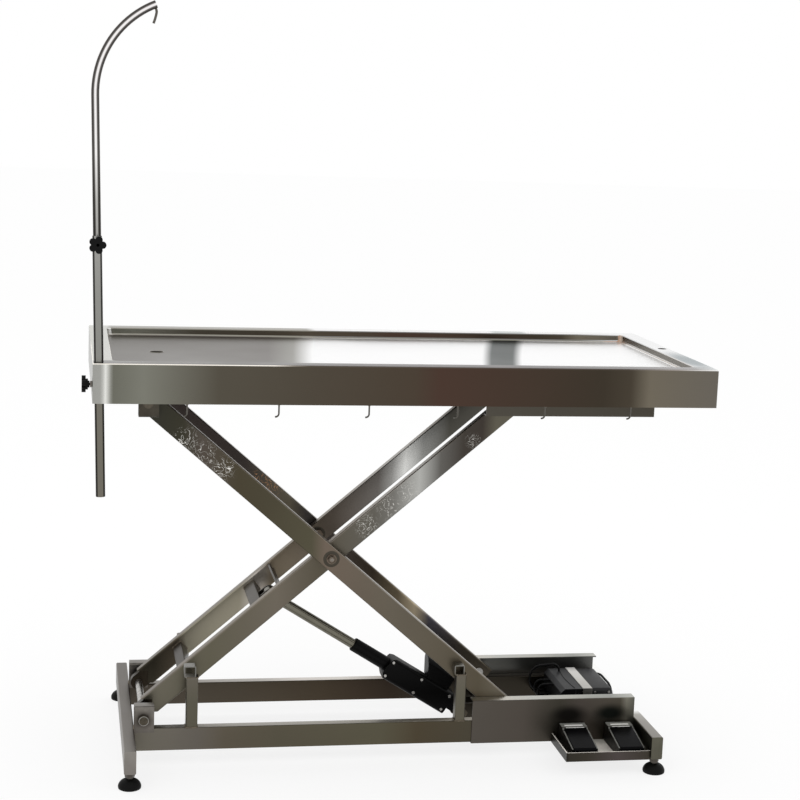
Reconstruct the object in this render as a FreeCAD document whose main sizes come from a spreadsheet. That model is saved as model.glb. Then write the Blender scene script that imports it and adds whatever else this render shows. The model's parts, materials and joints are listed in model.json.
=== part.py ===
import FreeCAD, Part
import os
import re
import Sketcher

# Veterinary exam table with an electric scissor lift.
# Frame: +X to the right along the tray, +Y away from the pedal side, +Z up.
# The origin is on the floor under the middle of the tray. Lengths are in millimetres, angles in degrees.
# "near" is the pedal side (-Y) and "far" is the other side (+Y).

DRIVING = {
    # tray sheet
    "tray_length": 1300, "tray_width": 600, "apron_height": 81, "tray_sheet": 1.5,
    "rim_width": 40, "basin_depth": 18, "basin_corner": 15, "basin_fillet": 6, "rim_edge": 2.5,
    "hem_width": 12,
    "subframe_height": 60, "subframe_inset": 50, "cross_rail_2": -175, "cross_rail_3": 215,
    # drain and the spare pole hole
    "drain_from_end": 140, "drain_radius": 14, "spout_wall": 2, "spout_length": 40,
    "spout_flange": 8, "spout_flange_sheet": 2, "spare_hole_radius": 10,
    "spare_hole_from_end": 18, "spare_hole_side": 25,
    # hooks under the apron
    "hook_wire": 1.75, "hook_spacing": 185, "hook_drop": 27, "hook_toe": 6, "hook_inset": 6,
    # base frame
    "frame_length": 1156, "frame_width": 600, "frame_gap": 34, "rail_width": 25, "rail_height": 50,
    "tube_wall": 2, "end_plate": 2, "tube_corner": 3,
    "front_upright_inset": 121.8, "front_upright_width": 25, "front_upright_height": 110.6,
    "rear_upright_setback": 104.4666, "rear_upright_width": 22, "rear_upright_height": 104.5,
    "rest_shift": 5,
    "channel_lead": 77.2666, "channel_sheet": 2.5, "channel_flange": 27,
    "channel_foot": 20,
    # pivots and arms
    "pivot_inset": 19.5, "pivot_radius": 8, "pivot_play": 0.05, "bracket_sheet": 2.5,
    "bracket_width": 42, "bracket_rise": 29.7, "bracket_overlap": 8, "bracket_bend": 4,
    "arm_span": 1047, "rest_angle": 40.7, "arm_depth": 46, "arm_thickness": 22, "arm_wall": 2,
    "arm_corner": 3, "inner_arm_y": 99, "arm_gap": 5.5, "rail_gap": 1,
    "block_radius": 18, "block_length": 72, "arm_end": 22,
    "arm_setback": 12,
    "notch_x": 20.5, "notch_low": 1.5, "notch_high": 26.7,
    # rollers
    "roller_radius": 20, "roller_clearance": 0.3, "roller_width": 16, "roller_gap": 5,
    "axle_radius": 6, "axle_collar": 10, "side_play": 0.3, "retainer": 1.5,
    # cross members of the inner arms
    "lower_cross_at": 120, "lower_cross_size": 24, "upper_cross_at": 331, "upper_cross_size": 28,
    "plate_at": 395, "plate_low": 2, "plate_high": 20, "plate_sheet": 4,
    # actuator
    "rod_pin_along": 361.8, "rod_pin_drop": 11.6, "rear_pin_x": 195, "rear_pin_z": 55,
    "rod_radius": 11, "rod_play": 0.08, "rod_length": 300, "rod_eye_radius": 15, "rod_lug_radius": 16,
    "rod_eye_width": 24, "rod_pin_radius": 6, "rod_lug_sheet": 5, "lug_play": 1,
    "sleeve_radius": 15.5, "sleeve_start": 225, "sleeve_length": 92,
    "gearbox_start": 308, "gearbox_length": 177, "gearbox_top": 24, "gearbox_drop": 29,
    "gearbox_width": 52, "gearbox_corner": 9, "motor_start": 384.5,
    "motor_length": 80.5, "motor_slant": 26,
    "motor_top": 66, "motor_width": 46, "motor_corner": 15,
    "rear_eye_radius": 14, "rear_eye_width": 32, "base_lug_gap": 4, "base_lug_sheet": 6,
    "base_lug_drop": 19, "base_lug_rise": 21, "base_lug_front": 21,
    "cross_tube_x": 248, "cross_tube_size": 26,
    # pedals
    "pedal_tray_length": 188, "pedal_tray_inset": 7, "pedal_tray_lip": 20,
    "pedal_from_end": 39, "pedal_spacing": 105, "pedal_width": 58, "pedal_front_gap": 10,
    "pedal_gap": 5, "pedal_rear_rise": 41, "pedal_front_rise": 24, "pedal_sheet": 3,
    "pedal_label": 26, "treadle_gap": 1, "treadle_thick": 12, "treadle_overhang": 2,
    "treadle_pin_radius": 3, "pedal_side_drop": 2.5,
    # control box
    "shelf_length": 161, "shelf_rise": 23, "shelf_sheet": 2, "box_from_end": 21, "box_length": 114,
    "box_split_at": 51, "box_front": 45, "box_back": 108, "box_height": 52, "box_chamfer": 9,
    "box_corner": 6, "strap_width": 22, "strap_sheet": 1.5, "strap_foot": 16,
    "loop_radius": 2.5, "loop_reach": 36, "loop_rise": 34, "loop_low": 7, "loop_one_y": 58,
    "loop_two_y": 26, "lead_radius": 2.75, "arch_y": 88, "arch_start": 30, "arch_reach": 40,
    "arch_rise": 18.5, "arch_drop": 6, "bow_reach": 19, "bow_low": 11, "bow_end": 8,
    "bow_turn_y": 10, "bow_foot_y": -30,
    # feet
    "foot_from_end": 15, "pad_radius": 24, "pad_height": 17, "pad_rim": 5,
    "stud_radius": 6, "stud_play": 0.08, "stud_top": 62, "lock_nut_radius": 10.5, "lock_nut_height": 9,
    # fasteners
    "bolt_radius": 5, "bolt_head_radius": 9, "bolt_head_height": 6, "washer_radius": 11,
    "washer_sheet": 2,
    # pole
    "pole_from_end": 12.2, "pole_from_side": 22, "pole_lean": 1.35, "lower_pole_radius": 9.5,
    "lower_pole_wall": 1.43, "lower_pole_foot": 273.4, "lower_pole_head": 250,
    "upper_pole_radius": 8, "upper_pole_wall": 1.5, "upper_pole_foot": 6, "upper_pole_straight": 523,
    "bend_radius": 188, "bend_sweep": 68.5, "pole_hook_radius": 2.5, "pole_hook_drop": 28,
    "pole_hook_toe": 5, "pole_hook_seat": 0.05,
    "pole_hole_play": 0.8, "hem_notch": 12.5, "guide_play": 0.25, "guide_sheet": 3,
    "guide_width": 30, "guide_reach": 30, "guide_height": 54,
    # clamp knobs
    "knob_hub_radius": 11, "knob_lobe_radius": 7, "knob_lobe_ring": 10.5, "knob_thick": 12.5,
    "knob_lobe_thick": 8,
    "knob_neck_radius": 7, "knob_neck": 3, "knob_screw_radius": 3, "knob_screw_play": 0.06,
    "knob_nut_radius": 6.5, "knob_nut_height": 4.5, "knob_gap": 1, "knob_drop": 45,
    "collar_z": 234,
}

DERIVED = {
    "rail_y": "inner_arm_y + arm_thickness + arm_gap + arm_thickness / 2 + rail_gap + rail_width / 2",
    "outer_arm_y": "inner_arm_y + arm_thickness + arm_gap",
    "rail_outer": "rail_y + rail_width / 2",
    "rail_inner": "rail_y - rail_width / 2",
    "rail_top": "frame_gap + rail_height",
    "crossbar_inner": "frame_length / 2 - rail_width",
    "base_pivot_x": "-crossbar_inner + pivot_inset",
    "base_pivot_z": "rail_top + roller_radius + roller_clearance",
    "half_span": "arm_span / 2",
    "run_x": "arm_span * cos(rest_angle)",
    "rise_z": "arm_span * sin(rest_angle)",
    "roller_x": "base_pivot_x + run_x",
    "rear_upright_x": "roller_x - rear_upright_setback",
    "channel_start": "roller_x - channel_lead",
    "centre_x": "base_pivot_x + run_x / 2",
    "centre_z": "base_pivot_z + rise_z / 2",
    "top_pivot_z": "base_pivot_z + rise_z",
    "subframe_bottom": "top_pivot_z + roller_radius + roller_clearance + channel_sheet",
    "floor_under": "subframe_bottom + subframe_height",
    "floor_top": "floor_under + tray_sheet",
    "tray_top": "floor_top + basin_depth",
    "apron_bottom": "tray_top - apron_height",
    "outer_arm_face": "outer_arm_y + arm_thickness / 2",
    "inner_arm_face": "inner_arm_y + arm_thickness / 2",
    "inner_arm_back": "inner_arm_y - arm_thickness / 2",
    "lower_roller_y": "outer_arm_face + roller_gap + roller_width / 2",
    "upper_gap": "arm_gap / 2",
    "upper_roller_y": "inner_arm_face + upper_gap + roller_width / 2",
    "upper_web": "upper_roller_y + roller_width / 2 + side_play + retainer + 2 * side_play",
    "rod_pin_x": "base_pivot_x + rod_pin_along * cos(rest_angle) + rod_pin_drop * sin(rest_angle)",
    "rod_pin_z": "base_pivot_z + rod_pin_along * sin(rest_angle) - rod_pin_drop * cos(rest_angle)",
    "actuator_angle": "atan((rod_pin_z - rear_pin_z) / (rear_pin_x - rod_pin_x)) / 1 deg",
    "actuator_length": "(rear_pin_x - rod_pin_x) / cos(actuator_angle)",
    "drain_x": "-tray_length / 2 + drain_from_end",
    "subframe_reach": "tray_length / 2 - subframe_inset",
    "cross_rail_1": "-subframe_reach + rail_width",
    "cross_rail_4": "subframe_reach - rail_width * 1.8",
    "pole_x": "tray_length / 2 - pole_from_end",
    "pole_y": "tray_width / 2 - pole_from_side",
    "foot_x": "(frame_length - rail_width) / 2",
    "foot_y": "frame_width / 2 - foot_from_end",
    "pedal_tray_left": "crossbar_inner - pedal_tray_length",
    "pedal_tray_front": "frame_width / 2 - pedal_tray_inset",
    "pedal_two_x": "crossbar_inner - pedal_from_end",
    "pedal_one_x": "pedal_two_x - pedal_spacing",
    "pedal_rear_y": "rail_outer + channel_sheet + pedal_gap",
    "pedal_length": "pedal_tray_front - pedal_rear_y - pedal_front_gap",
    "pedal_floor": "frame_gap",
    "shelf_left": "crossbar_inner - shelf_length",
    "box_right": "crossbar_inner - box_from_end",
    "box_left": "box_right - box_length",
    "box_split": "box_left + box_split_at + strap_width / 2",
    "shelf_top": "frame_gap + shelf_rise + shelf_sheet",
    "box_top": "shelf_top + box_height",
    "knob_outer": "knob_gap + knob_nut_height + knob_neck",
}

X = FreeCAD.Vector(1, 0, 0)
Y = FreeCAD.Vector(0, 1, 0)
Z = FreeCAD.Vector(0, 0, 1)
AXES = {"X": X, "Y": Y, "Z": Z}
FULL_TURN = 360
SMALL = 1e-6

doc = FreeCAD.newDocument("exam_table")
sizes = doc.addObject("Spreadsheet::Sheet", "sizes")
WORD = re.compile(r"\b(" + "|".join([*DRIVING, *DERIVED]) + r")\b")
nodes = {}


# ---------------------------------------------------------------- sheet and binding

def fill_sheet():
    """Puts every driving size in column A and every size that follows from them in column B."""
    for row, (alias, size) in enumerate(DRIVING.items(), 1):
        sizes.set(f"A{row}", str(size))
        sizes.setAlias(f"A{row}", alias)
    for row, (alias, text) in enumerate(DERIVED.items(), 1):
        sizes.set(f"B{row}", "=" + text)
        sizes.setAlias(f"B{row}", alias)
    doc.recompute()


def formula(text):
    """The formula with each size named through the sheet, as other objects need it."""
    return WORD.sub(lambda found: "sizes." + found.group(0), str(text))


def number(text):
    """What a formula comes to now, as a plain number."""
    result = sizes.evalExpression(str(text))
    return float(getattr(result, "Value", result))


def bind(thing, prop, text):
    thing.setExpression(prop, formula(text))


def place(thing, x=0, y=0, z=0, turn=None, angle=None):
    """Binds where a piece stands, and how far it is turned about one axis."""
    if turn is not None:
        thing.Placement = FreeCAD.Placement(FreeCAD.Vector(), FreeCAD.Rotation(turn, number(angle)))
        bind(thing, "Placement.Rotation.Angle", angle)
    for letter, text in zip("xyz", (x, y, z)):
        bind(thing, "Placement.Base." + letter, text)
    return thing


def node(name, thing):
    thing.Label = name
    nodes[name] = thing
    return thing


# ---------------------------------------------------------------- sketches and features

def new_body(name):
    return doc.addObject("PartDesign::Body", name)


def pin_point(sketch, curve, point, x, y):
    """Holds one point of a sketch at its distances from the sketch's origin."""
    for kind, text in (("DistanceX", x), ("DistanceY", y)):
        index = sketch.addConstraint(Sketcher.Constraint(kind, -1, 1, curve, point, number(text)))
        bind(sketch, f"Constraints[{index}]", text)


def add_polygon(sketch, corners):
    first = sketch.GeometryCount
    points = [FreeCAD.Vector(number(x), number(y), 0) for x, y in corners]
    count = len(points)
    for index in range(count):
        sketch.addGeometry(Part.LineSegment(points[index], points[(index + 1) % count]))
    for index in range(count):
        following = first + (index + 1) % count
        sketch.addConstraint(Sketcher.Constraint("Coincident", first + index, 2, following, 1))
        pin_point(sketch, first + index, 1, *corners[index])


def add_circle(sketch, x, y, radius):
    centre = FreeCAD.Vector(number(x), number(y), 0)
    curve = sketch.addGeometry(Part.Circle(centre, Z, number(radius)))
    pin_point(sketch, curve, 3, x, y)
    index = sketch.addConstraint(Sketcher.Constraint("Radius", curve, number(radius)))
    bind(sketch, f"Constraints[{index}]", radius)


def sketch_on(body, plane, *loops):
    """A sketch on one of the body's own origin planes: each loop is a list of corners or a circle."""
    sketch = body.newObject("Sketcher::SketchObject", body.Name + "_sketch")
    support = [item for item in body.Origin.OriginFeatures if item.Role == plane + "_Plane"]
    sketch.AttachmentSupport = [(support[0], "")]
    sketch.MapMode = "FlatFace"
    for loop in loops:
        if isinstance(loop, list):
            add_polygon(sketch, loop)
        else:
            add_circle(sketch, *loop)
    return sketch


def shift(sketch, height):
    """Lifts a sketch off its body's base plane."""
    sketch.AttachmentOffset = FreeCAD.Placement(FreeCAD.Vector(), FreeCAD.Rotation())
    bind(sketch, "AttachmentOffset.Base.z", height)


def rectangle(left, right, low, high):
    return [(left, low), (right, low), (right, high), (left, high)]


def centred_rectangle(width, height):
    return rectangle(f"-({width}) / 2", f"({width}) / 2", f"-({height}) / 2", f"({height}) / 2")


def pad(body, sketch, length):
    """Material on both sides of the sketch, half the length each way."""
    feature = body.newObject("PartDesign::Pad", body.Name + "_pad")
    feature.Profile = sketch
    feature.Midplane = True
    bind(feature, "Length", length)
    doc.recompute()
    return feature


def pocket(body, sketch, length):
    """A cut on both sides of the sketch, half the length each way; it has to remove something."""
    before = body.Tip.Shape.Volume
    feature = body.newObject("PartDesign::Pocket", body.Name + "_pocket")
    feature.Profile = sketch
    feature.Midplane = True
    bind(feature, "Length", length)
    doc.recompute()
    if feature.Shape.Volume > before - SMALL:
        raise RuntimeError(f"{feature.Name} cuts nothing")
    return feature


def fillet(body, radius, wanted):
    """Rounds the edges of the body that the test picks."""
    base = body.Tip
    names = [f"Edge{i}" for i, edge in enumerate(base.Shape.Edges, 1) if wanted(edge, base.Shape)]
    feature = body.newObject("PartDesign::Fillet", body.Name + "_fillet")
    feature.Base = (base, names)
    bind(feature, "Radius", radius)
    doc.recompute()
    return feature


def outer_corner(axis):
    """Picks the straight edges along one axis that lie on two sides of the bounding box."""
    letter = axis.lower()
    others = [other for other in "XYZ" if other != axis]

    def wanted(edge, shape):
        if edge.Curve.TypeId != "Part::GeomLine":
            return False
        if abs(getattr(edge.Curve.Direction, letter)) < 1 - SMALL:
            return False
        middle = edge.CenterOfMass
        box = shape.BoundBox
        return all(
            min(abs(getattr(middle, other.lower()) - getattr(box, other + "Min")),
                abs(getattr(middle, other.lower()) - getattr(box, other + "Max"))) < SMALL
            for other in others)

    return wanted


def extruded(name, plane, length, *loops):
    body = new_body(name)
    pad(body, sketch_on(body, plane, *loops), length)
    return body


PLANE_ACROSS = {"X": "YZ", "Y": "XZ", "Z": "XY"}


def tube(name, axis, length, width, height, wall, corner="tube_corner"):
    """A rectangular tube along one axis, centred on its own origin, with rounded outer corners."""
    inside = centred_rectangle(f"{width} - 2 * {wall}", f"{height} - 2 * {wall}")
    body = extruded(name, PLANE_ACROSS[axis], length, centred_rectangle(width, height), inside)
    fillet(body, corner, outer_corner(axis))
    return body


def plate(name, axis, sheet, width, height):
    """A flat plate, centred on its own origin, with its thickness along one axis."""
    return extruded(name, PLANE_ACROSS[axis], sheet, centred_rectangle(width, height))


def turned(name, outline):
    """A turned piece about its own Z axis, from (radius, height) corners."""
    body = new_body(name)
    sketch = sketch_on(body, "XZ", outline)
    feature = body.newObject("PartDesign::Revolution", name + "_turn")
    feature.Profile = sketch
    feature.ReferenceAxis = (sketch, ["V_Axis"])
    feature.Angle = FULL_TURN
    doc.recompute()
    return body


QUARTER = 90
STAND = {"X": (Y, QUARTER), "-Y": (X, QUARTER), "Y": (-X, QUARTER), "-X": (-Y, QUARTER)}


def stand(thing, axis, x, y, z):
    """Stands a piece that was made about +Z along another direction."""
    if axis == "Z":
        return place(thing, x, y, z)
    return place(thing, x, y, z, *STAND[axis])


def cylinder(name, axis, radius, length, x, y, z):
    """A round bar from the given point along one axis."""
    bar = doc.addObject("Part::Cylinder", name)
    bind(bar, "Radius", radius)
    bind(bar, "Height", length)
    return stand(bar, axis, x, y, z)


def hexagon(name, axis, radius, height, x, y, z):
    prism = doc.addObject("Part::Prism", name)
    prism.Polygon = 6
    bind(prism, "Circumradius", radius)
    bind(prism, "Height", height)
    return stand(prism, axis, x, y, z)


def fused(name, *pieces):
    joined = doc.addObject("Part::MultiFuse", name)
    joined.Shapes = list(pieces)
    joined.Refine = True
    return joined


def cut(name, base, tool):
    result = doc.addObject("Part::Cut", name)
    result.Base = base
    result.Tool = tool
    return result


def group(name, *pieces):
    """Separate solids that share one node."""
    holder = doc.addObject("Part::Compound", name)
    holder.Links = list(pieces)
    return node(name, holder)


SIDES = (("near", "-1"), ("far", "1"))


# ---------------------------------------------------------------- base frame

def make_crossbars():
    for name, sign in (("left_crossbar", "-1"), ("right_crossbar", "1")):
        middle_x = f"{sign} * (frame_length - rail_width) / 2"
        middle_z = "frame_gap + rail_height / 2"
        length = "frame_width - 2 * end_plate"
        bar = tube(name + "_tube", "Y", length, "rail_width", "rail_height", "tube_wall")
        for side, side_sign in SIDES:
            hole = sketch_on(bar, "XY", (0, f"{side_sign} * foot_y", "stud_radius + stud_play"))
            shift(hole, "-rail_height / 2")
            pocket(bar, hole, "4 * tube_wall")
        place(bar, middle_x, 0, middle_z)
        plates = []
        for side, side_sign in SIDES:
            cap = plate(f"{name}_{side}_cap", "Y", "end_plate", "rail_width", "rail_height")
            fillet(cap, "tube_corner", outer_corner("Y"))
            place(cap, middle_x, f"{side_sign} * (frame_width - end_plate) / 2", middle_z)
            plates.append(cap)
        group(name, bar, *plates)


def make_rails():
    for side, sign in SIDES:
        rail = tube(side + "_rail", "X", "2 * crossbar_inner", "rail_width", "rail_height", "tube_wall")
        node(side + "_rail", place(rail, 0, f"{sign} * rail_y", "frame_gap + rail_height / 2"))


def make_roller_channels():
    """Bent sheet round the outside of each rail: web, top flange, and a foot below."""
    web_out = "rail_outer + channel_sheet"
    top = "base_pivot_z + roller_radius + roller_clearance + channel_sheet * 2"
    for side, sign in SIDES:
        corners = [
            ("rail_outer - channel_foot", "frame_gap - channel_sheet"),
            (web_out, "frame_gap - channel_sheet"),
            (web_out, top),
            (f"{web_out} - channel_flange", top),
            (f"{web_out} - channel_flange", f"{top} - channel_sheet"),
            ("rail_outer", f"{top} - channel_sheet"),
            ("rail_outer", "frame_gap"),
            ("rail_outer - channel_foot", "frame_gap"),
        ]
        signed = [(f"{sign} * ({across})", height) for across, height in corners]
        length = "crossbar_inner - channel_start"
        body = extruded(side + "_roller_channel", "YZ", length, signed)
        fillet(body, "channel_sheet", lambda edge, shape: outer_corner("X")(edge, shape)
               and abs(edge.CenterOfMass.y) > number("rail_outer"))
        node(side + "_roller_channel", place(body, "(crossbar_inner + channel_start) / 2"))


def make_uprights():
    """Posts on both rails; all but the far front one carry a stub of tube that the arms rest on."""
    posts = []
    rests = []
    front = ("-crossbar_inner + front_upright_inset", "front_upright_width", "front_upright_height")
    rear = ("rear_upright_x", "rear_upright_width", "rear_upright_height")
    for name, sign, has_rest, (x, width, height) in (
            ("near_front", "-1", True, front), ("near_rear", "-1", True, rear),
            ("far_front", "1", False, front), ("far_rear", "1", True, rear)):
        post = tube(name + "_upright", "Z", height, width, "rail_width", "tube_wall")
        posts.append(place(post, x, f"{sign} * rail_y", f"rail_top + {height} / 2"))
        if has_rest:
            stub = tube(name + "_rest", "Y", "rail_width", width, width, "tube_wall")
            rests.append(place(stub, f"{x} - rest_shift", f"{sign} * rail_y",
                               f"rail_top + {height} + {width} / 2"))
    group("uprights", *posts)
    group("arm_rests", *rests)


def u_bracket(name, inner_width, low, high, hole_z):
    """A strip bent to a U that opens towards low, with the pivot holes through both cheeks."""
    half = f"({inner_width}) / 2"
    body = extruded(name, "YZ", "bracket_width", [
        (f"-{half} - bracket_sheet", low), (f"-{half} - bracket_sheet", high),
        (f"{half} + bracket_sheet", high), (f"{half} + bracket_sheet", low),
        (half, low), (half, f"{high} - bracket_sheet"),
        (f"-{half}", f"{high} - bracket_sheet"), (f"-{half}", low)])
    fillet(body, "bracket_bend", lambda edge, shape: outer_corner("X")(edge, shape)
           and edge.CenterOfMass.z > number(high) - SMALL)
    holes = sketch_on(body, "XZ", ("pivot_inset - bracket_width / 2", hole_z, "pivot_radius"))
    pocket(body, holes, "2 * rail_width")
    return body


def make_base_pivot():
    brackets = []
    bolts = []
    for side, sign in SIDES:
        bracket = u_bracket(side + "_pivot_bracket", "rail_width", "rail_top - bracket_overlap",
                            "base_pivot_z + bracket_rise", "base_pivot_z")
        place(bracket, "-crossbar_inner + bracket_width / 2", f"{sign} * rail_y")
        brackets.append(bracket)
        bolts.append(pivot_bolt(side + "_base_bolt", sign, "base_pivot_x", "base_pivot_z",
                                "rail_outer + bracket_sheet"))
    group("pivot_brackets", *brackets)
    half = "(rail_outer + bracket_sheet)"
    node("pivot_shaft", cylinder("pivot_shaft", "Y", "pivot_radius", f"2 * {half}",
                                 "base_pivot_x", f"-{half}", "base_pivot_z"))
    return bolts


def pivot_bolt(name, sign, x, z, face):
    """A washer and a hexagon head against the end of a pivot shaft."""
    axis = "Y" if sign == "1" else "-Y"
    washer = cylinder(name + "_washer", axis, "washer_radius", "washer_sheet", x, f"{sign} * ({face})", z)
    head = hexagon(name + "_head", axis, "bolt_head_radius", "bolt_head_height", x,
                   f"{sign} * ({face} + washer_sheet)", z)
    return fused(name, washer, head)


def make_base_fasteners(pivot_bolts):
    nuts = []
    for left, x_sign in (("left", "-1"), ("right", "1")):
        for side, y_sign in SIDES:
            name = f"{left}_{side}_lock_nut"
            spot = (f"{x_sign} * foot_x", f"{y_sign} * foot_y", "frame_gap - lock_nut_height")
            nut = hexagon(name + "_hex", "Z", "lock_nut_radius", "lock_nut_height", *spot)
            bore = cylinder(name + "_bore", "Z", "stud_radius + stud_play", "lock_nut_height", *spot)
            nuts.append(cut(name, nut, bore))
    lug_bolts = []
    for side, sign in SIDES:
        axis = "Y" if sign == "1" else "-Y"
        face = f"{sign} * (rear_eye_width / 2 + base_lug_gap + base_lug_sheet)"
        lug_bolts.append(hexagon(side + "_lug_bolt", axis, "bolt_head_radius", "bolt_head_height",
                                 "rear_pin_x", face, "rear_pin_z"))
    group("frame_fasteners", *pivot_bolts, *nuts, *lug_bolts)


def make_actuator_mount():
    """The cross tube between the rails and the two lug plates that hold the actuator's rear eye."""
    bar = tube("actuator_cross_tube", "Y", "2 * rail_inner", "cross_tube_size", "cross_tube_size",
               "tube_wall")
    node("actuator_cross_tube", place(bar, "cross_tube_x", 0, "frame_gap + cross_tube_size / 2"))
    lugs = []
    back = "cross_tube_x - cross_tube_size / 2"
    low = "rear_pin_z - base_lug_drop"
    high = "rear_pin_z + base_lug_rise"
    for side, sign in SIDES:
        front = "rear_pin_x - base_lug_front"
        lug = extruded(side + "_actuator_lug", "XZ", "base_lug_sheet",
                       rectangle(front, back, low, high))
        fillet(lug, "base_lug_drop / 2", lambda edge, shape: outer_corner("Y")(edge, shape)
               and edge.CenterOfMass.x < shape.BoundBox.Center.x)
        place(lug, 0, f"{sign} * (rear_eye_width / 2 + base_lug_gap + base_lug_sheet / 2)")
        lugs.append(lug)
    group("actuator_lugs", *lugs)


# ---------------------------------------------------------------- pedals and control box

def make_pedal_tray():
    """A bent sheet between the near channel and the right cross bar, with lips at left and front."""
    length = "pedal_tray_length"
    depth = "pedal_tray_front - rail_outer - channel_sheet"
    body = extruded("pedal_tray", "XY", "pedal_tray_lip", centred_rectangle(length, depth))
    inside = rectangle(f"-({length}) / 2 + channel_sheet", f"({length}) / 2 + channel_sheet",
                       f"-({depth}) / 2 + channel_sheet", f"({depth}) / 2 + channel_sheet")
    hollow = sketch_on(body, "XY", inside)
    shift(hollow, "channel_sheet")
    pocket(body, hollow, "pedal_tray_lip")
    place(body, f"pedal_tray_left + ({length}) / 2", f"-pedal_tray_front + ({depth}) / 2",
          "frame_gap - channel_sheet + pedal_tray_lip / 2")
    node("pedal_tray", body)


def make_pedals():
    """Two pedal cases with a raised block for the label at the rear, and a hinged treadle in each."""
    cases = []
    rear = "(pedal_length / 2)"
    label = "(pedal_length / 2 - pedal_label)"
    side_rear = "(pedal_rear_rise - pedal_side_drop)"
    side_front = "(pedal_front_rise - pedal_side_drop)"
    top = "(pedal_rear_rise - treadle_gap)"
    hinge_y = f"({label} - 2 * treadle_gap - treadle_thick / 2)"
    hinge_z = f"({top} - treadle_thick / 2)"
    for side, x in (("left", "pedal_one_x"), ("right", "pedal_two_x")):
        case = extruded(side + "_pedal_case", "YZ", "pedal_width", [
            (f"-{rear}", 0), (rear, 0), (rear, "pedal_rear_rise"), (label, "pedal_rear_rise"),
            (label, side_rear), (f"-{rear}", side_front)])
        fillet(case, "pedal_sheet / 2", rear_top)
        well = [(f"-{rear} - pedal_sheet", "pedal_sheet"), (f"{label} - treadle_gap", "pedal_sheet"),
                (f"{label} - treadle_gap", "pedal_rear_rise"),
                (f"-{rear} - pedal_sheet", "pedal_rear_rise")]
        pocket(case, sketch_on(case, "YZ", well), "pedal_width - 2 * pedal_sheet")
        bore = sketch_on(case, "YZ", (hinge_y, hinge_z, "treadle_pin_radius + pivot_play"))
        pocket(case, bore, "2 * pedal_width")
        cases.append(place(case, x, f"-pedal_rear_y - {rear}", "pedal_floor"))
        front = f"(-{rear} - treadle_overhang)"
        treadle = extruded(side + "_treadle", "YZ", "pedal_width - 2 * (pedal_sheet + treadle_gap)", [
            (f"{label} - 2 * treadle_gap", top), (f"{label} - 2 * treadle_gap", f"{top} - treadle_thick"),
            (front, "pedal_front_rise - treadle_thick"), (front, "pedal_front_rise")])
        fillet(treadle, "treadle_thick / 4", treadle_front)
        pad(treadle, sketch_on(treadle, "YZ", (hinge_y, hinge_z, "treadle_pin_radius")),
            "pedal_width - pedal_sheet / 3")
        node(side + "_treadle", place(treadle, x, f"-pedal_rear_y - {rear}", "pedal_floor"))
    group("pedal_cases", *cases)


def treadle_front(edge, shape):
    """Picks the edges across the front of a treadle."""
    return (edge.Curve.TypeId == "Part::GeomLine"
            and abs(edge.Curve.Direction.x) > 1 - SMALL
            and edge.CenterOfMass.y < shape.BoundBox.YMin + SMALL)


def rear_top(edge, shape):
    """Picks the edge across the top of a pedal case, at its rear."""
    return outer_corner("X")(edge, shape) and edge.CenterOfMass.z > shape.BoundBox.ZMax - SMALL


def make_control_box():
    shelf = plate("box_shelf", "Z", "shelf_sheet", "shelf_length", "2 * rail_inner")
    node("box_shelf", place(shelf, "shelf_left + shelf_length / 2", 0,
                            "shelf_top - shelf_sheet / 2"))
    depth = "box_front + box_back"
    middle = "(box_back - box_front) / 2"
    case = extruded("control_case", "XZ", depth, [
        ("box_left", 0), ("box_split", 0), ("box_split", "box_height"),
        ("box_left + box_chamfer", "box_height"), ("box_left", "box_height - box_chamfer")])
    node("control_case", place(case, 0, middle, "shelf_top"))
    cover = extruded("control_cover", "XZ", depth, rectangle("box_split", "box_right", 0, "box_height"))
    fillet(cover, "box_corner", lambda edge, shape: outer_corner("Y")(edge, shape)
           and edge.CenterOfMass.x > number("box_split") + SMALL)
    node("control_cover", place(cover, 0, middle, "shelf_top"))
    half = f"({depth}) / 2"
    strap = extruded("control_strap", "YZ", "strap_width", [
        (f"-{half} - strap_sheet - strap_foot", 0), (f"-{half} - strap_sheet - strap_foot", "strap_sheet"),
        (f"-{half} - strap_sheet", "strap_sheet"), (f"-{half} - strap_sheet", "box_height + strap_sheet"),
        (f"{half} + strap_sheet", "box_height + strap_sheet"), (f"{half} + strap_sheet", "strap_sheet"),
        (f"{half} + strap_sheet + strap_foot", "strap_sheet"), (f"{half} + strap_sheet + strap_foot", 0),
        (half, 0), (half, "box_height"), (f"-{half}", "box_height"), (f"-{half}", 0)])
    node("control_strap", place(strap, "box_split", middle, "shelf_top"))


PI = 3.141592653589793
MIDDLE_SHARE = 0.45
END_SHARE = 0.9
BOW_FOOT_RISE = 19


def point(x, y, z):
    return FreeCAD.Vector(number(x), number(y), number(z))


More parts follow.
